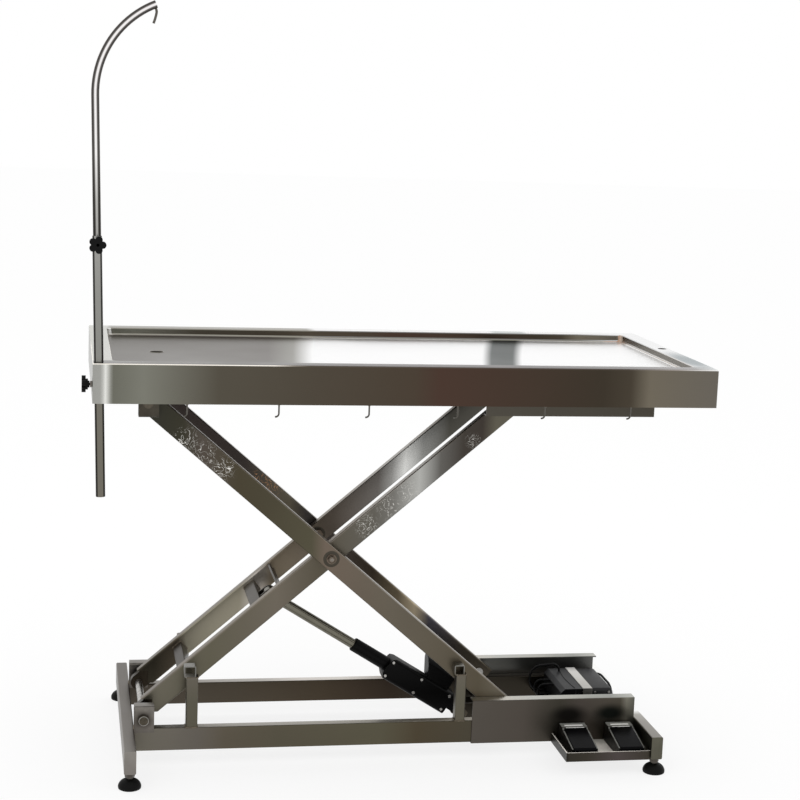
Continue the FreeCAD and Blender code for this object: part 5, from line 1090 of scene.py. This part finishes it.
class EXAM_OT_dress_case(bpy.types.Operator):
    """Adds the cover, the seam, the screws and the strap bolts of the control case"""
    bl_idname = "exam.dress_case"
    bl_label = "Dress the control case"

    def execute(self, context):
        TREES["sweep"] = make_sweep_tree()
        lo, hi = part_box("control_case")
        strap_lo, strap_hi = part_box("control_strap")
        cover_lo, cover_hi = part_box("control_cover")
        seam_share = 0.55
        along = lo.x + (hi.x - lo.x) * seam_share
        bow = 6 * MM
        count = 16
        seam = [Vector((along, lo.y, lo.z + 6 * MM)), Vector((along, lo.y, hi.z - 2 * MM))]
        for step in range(1, count):
            share = step / count
            bend = bow * math.sin(math.pi * share)
            seam.append(Vector((along - bend, lo.y + (hi.y - lo.y) * share, hi.z)))
        points, edges = chain([seam], closed=False)
        grow("case_seam", TREES["sweep"], points, edges,
             {"Radius": 1.2 * MM, "Material": LOOKS["cable"]}, "base")
        strap_x = (strap_lo.x + strap_hi.x) / 2
        bolt_inset = 8 * MM
        bolts = [Vector((strap_x, y, lo.z + 2 * MM))
                 for y in (strap_lo.y + bolt_inset, strap_hi.y - bolt_inset)]
        grow("strap_bolts", TREES["disc"], bolts, [],
             {"Radius": 4.5 * MM, "Thickness": 3 * MM, "Turn": (0, 0, 0), "Material": LOOKS["fastener"]},
             "base")
        reach = Vector((cover_lo.x + settings().cover_reach, cover_hi.y, cover_hi.z))
        edge = 7 * MM
        cover = rounded_box("case_cover", cover_lo, reach, edge, LOOKS["cover"], "base")
        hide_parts("control_cover")
        inset = 9 * MM
        screws = [Vector((x, cover_lo.y, z)) for x in (hi.x + 2 * inset, reach.x - inset)
                  for z in (cover_lo.z + inset, cover_hi.z - inset)]
        grow("cover_screws", TREES["disc"], screws, [],
             {"Radius": 2.4 * MM, "Thickness": 1.2 * MM, "Turn": (math.pi / 2, 0, 0),
              "Material": LOOKS["fastener"]}, "base")
        return {"FINISHED"}


class EXAM_OT_dress_actuator(bpy.types.Operator):
    """Adds the wiper ring at the mouth of the sleeve and the screws of the gear housing"""
    bl_idname = "exam.dress_actuator"
    bl_label = "Dress the actuator"

    def execute(self, context):
        along = Vector(JOINTS["actuator_stroke"]["axis"]).normalized()
        pin = Vector(JOINTS["push_rod_pivot"]["pos_m"])
        tilt = UP.rotation_difference(along).to_euler()
        sleeve = solids("actuator_sleeve")[0]
        start = min((point - pin).dot(along) for point in sleeve)
        grow("rod_wiper", TREES["ring"], [pin], [],
             {"Count": 1, "Start": pin + along * start, "Step": along, "Turn": tuple(tilt),
              "Radius": 12.5 * MM, "Wire": 1.2 * MM, "Material": LOOKS["foot"]},
             "actuator")
        lo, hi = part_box("gear_housing")
        across = Vector((along.z, 0, -along.x))
        housing = solids("gear_housing")[0]
        ahead = [(point - pin).dot(along) for point in housing]
        aside = [(point - pin).dot(across) for point in housing]
        inset = 9 * MM
        screws = []
        for side in (lo.y, hi.y):
            for reach in (min(ahead) + inset, (min(ahead) + max(ahead)) / 2, max(ahead) - inset):
                for height in (min(aside) + inset, max(aside) - inset):
                    spot = pin + along * reach + across * height
                    screws.append(Vector((spot.x, side, spot.z)))
        grow("housing_screws", TREES["disc"], screws, [],
             {"Radius": 2.6 * MM, "Thickness": 1.4 * MM, "Turn": (math.pi / 2, 0, 0),
              "Material": LOOKS["fastener"]}, "actuator")
        return {"FINISHED"}


class EXAM_OT_ring_holes(bpy.types.Operator):
    """Adds the rolled ring round the drain"""
    bl_idname = "exam.ring_holes"
    bl_label = "Ring the drain"

    def execute(self, context):
        lo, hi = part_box("drain_spout")
        centre = (lo + hi) / 2
        floor = TRAY_BOX[1].z - BASIN_DEPTH
        grow("drain_ring", TREES["ring"], [centre], [],
             {"Count": 1, "Start": Vector((centre.x, centre.y, floor)), "Step": UP, "Turn": (0, 0, 0),
              "Radius": 15.2 * MM, "Wire": 0.8 * MM, "Material": LOOKS["rim"]}, "tray")
        return {"FINISHED"}


class EXAM_OT_set_stage(bpy.types.Operator):
    """Sets the floor, the camera, the lights and the plain white surroundings"""
    bl_idname = "exam.set_stage"
    bl_label = "Set the stage"

    def execute(self, context):
        scene = context.scene
        scene.view_settings.view_transform = "Standard"
        set_world()
        set_floor()
        set_lights()
        set_camera()
        return {"FINISHED"}


def plain_rays(tree):
    """1 for what the camera, a reflection or a see-through surface looks at directly."""
    rays = add(tree, "ShaderNodeLightPath").outputs
    direct = maths(tree, "MAXIMUM", rays["Is Camera Ray"], rays["Is Glossy Ray"])
    return maths(tree, "MAXIMUM", direct, rays["Is Transmission Ray"])


def set_world():
    """White to the camera and in reflections, and a plain level of light on everything else."""
    world = bpy.data.worlds.new("Surroundings")
    bpy.context.scene.world = world
    world.use_nodes = True
    tree = world.node_tree
    tree.nodes.clear()
    fill = add(tree, "ShaderNodeBackground", {"Color": (1, 1, 1, 1), "Strength": settings().world_fill})
    white = add(tree, "ShaderNodeBackground", {"Color": (1, 1, 1, 1), "Strength": 1.0})
    mix = add(tree, "ShaderNodeMixShader", {0: plain_rays(tree)})
    tree.links.new(fill.outputs[0], mix.inputs[1])
    tree.links.new(white.outputs[0], mix.inputs[2])
    out = add(tree, "ShaderNodeOutputWorld")
    tree.links.new(mix.outputs[0], out.inputs["Surface"])


def set_floor():
    """A plain floor: most of what the camera sees of it is plain white, and the rest takes the shadow."""
    half = 30.0
    mesh = bpy.data.meshes.new("floor")
    corners = [(-half, -half, 0), (half, -half, 0), (half, half, 0), (-half, half, 0)]
    mesh.from_pydata(corners, [], [(0, 1, 2, 3)])
    material, tree, shader = new_material("Floor")
    shader.inputs["Base Color"].default_value = (0.98, 0.98, 0.98, 1)
    shader.inputs["Roughness"].default_value = 0.8
    shader.inputs["Specular IOR Level"].default_value = 0.0
    white_share = 0.8
    share = maths(tree, "MULTIPLY", plain_rays(tree), white_share)
    white = add(tree, "ShaderNodeEmission", {"Color": (1, 1, 1, 1), "Strength": 1.0})
    mix = add(tree, "ShaderNodeMixShader", {0: share})
    tree.links.new(shader.outputs[0], mix.inputs[1])
    tree.links.new(white.outputs[0], mix.inputs[2])
    tree.links.new(mix.outputs[0], tree.nodes["Material Output"].inputs["Surface"])
    mesh.materials.append(material)
    floor = bpy.data.objects.new("floor", mesh)
    bpy.context.scene.collection.objects.link(floor)


def set_lights():
    """Three large soft lights, unseen in reflections."""
    power = settings().key_power
    centre = Vector((0, 0, 0.8))
    for name, spot, size, share in (("key", (-2.6, -3.2, 3.4), 2.4, 1.0),
                                    ("fill", (3.2, -2.6, 2.4), 2.4, 0.45),
                                    ("top", (0.2, 0.8, 4.2), 3.0, 0.8)):
        light = bpy.data.lights.new(name, "AREA")
        light.shape = "DISK"
        light.size = size
        light.energy = power * share
        lamp = bpy.data.objects.new(name, light)
        lamp.location = spot
        lamp.rotation_mode = "QUATERNION"
        lamp.rotation_quaternion = (centre - Vector(spot)).to_track_quat("-Z", "Y")
        lamp.visible_glossy = False
        bpy.context.scene.collection.objects.link(lamp)


def set_camera():
    """The camera stands off the near side, left of the table, a little above the tray."""
    spot = Vector((-0.7075, -3.9052, 1.4209))
    yaw = 0.1856
    down = 0.1622
    roll = 0.038
    ahead = Vector((math.sin(yaw) * math.cos(down), math.cos(yaw) * math.cos(down), -math.sin(down)))
    level = Vector((math.cos(yaw), -math.sin(yaw), 0))
    upward = level.cross(ahead)
    right = level * math.cos(roll) + upward * math.sin(roll)
    top = upward * math.cos(roll) - level * math.sin(roll)
    data = bpy.data.cameras.new("camera")
    data.sensor_width = 36.0
    data.lens = 81.94
    camera = bpy.data.objects.new("camera", data)
    camera.matrix_world = Matrix.Translation(spot) @ Matrix((right, top, -ahead)).transposed().to_4x4()
    bpy.context.scene.collection.objects.link(camera)
    bpy.context.scene.camera = camera


class EXAM_PT_panel(bpy.types.Panel):
    """Lists the operators of the exam table"""
    bl_idname = "EXAM_PT_panel"
    bl_label = "Exam table"
    bl_space_type = "VIEW_3D"
    bl_region_type = "UI"
    bl_category = "Exam table"

    def draw(self, context):
        for operator in OPERATORS:
            self.layout.operator(operator.bl_idname)
        for name in ExamTableSettings.__annotations__:
            self.layout.prop(context.scene.exam_table, name)


OPERATORS = (EXAM_OT_finish_frame, EXAM_OT_lay_welds, EXAM_OT_turn_feet, EXAM_OT_ring_pivots,
             EXAM_OT_cap_knobs, EXAM_OT_dress_pedals, EXAM_OT_dress_case, EXAM_OT_dress_actuator,
             EXAM_OT_ring_holes, EXAM_OT_set_stage)


def register():
    bpy.utils.register_class(ExamTableSettings)
    bpy.types.Scene.exam_table = bpy.props.PointerProperty(type=ExamTableSettings)
    for item in (*OPERATORS, EXAM_PT_panel):
        bpy.utils.register_class(item)


def unregister():
    for item in (EXAM_PT_panel, *reversed(OPERATORS)):
        bpy.utils.unregister_class(item)
    del bpy.types.Scene.exam_table
    bpy.utils.unregister_class(ExamTableSettings)


def main():
    register()
    bpy.ops.exam.finish_frame()
    bpy.ops.exam.lay_welds()
    bpy.ops.exam.turn_feet()
    bpy.ops.exam.ring_pivots()
    bpy.ops.exam.cap_knobs()
    bpy.ops.exam.dress_pedals()
    bpy.ops.exam.dress_case()
    bpy.ops.exam.dress_actuator()
    bpy.ops.exam.ring_holes()
    bpy.ops.exam.set_stage()


if __name__ == "__main__":
    main()
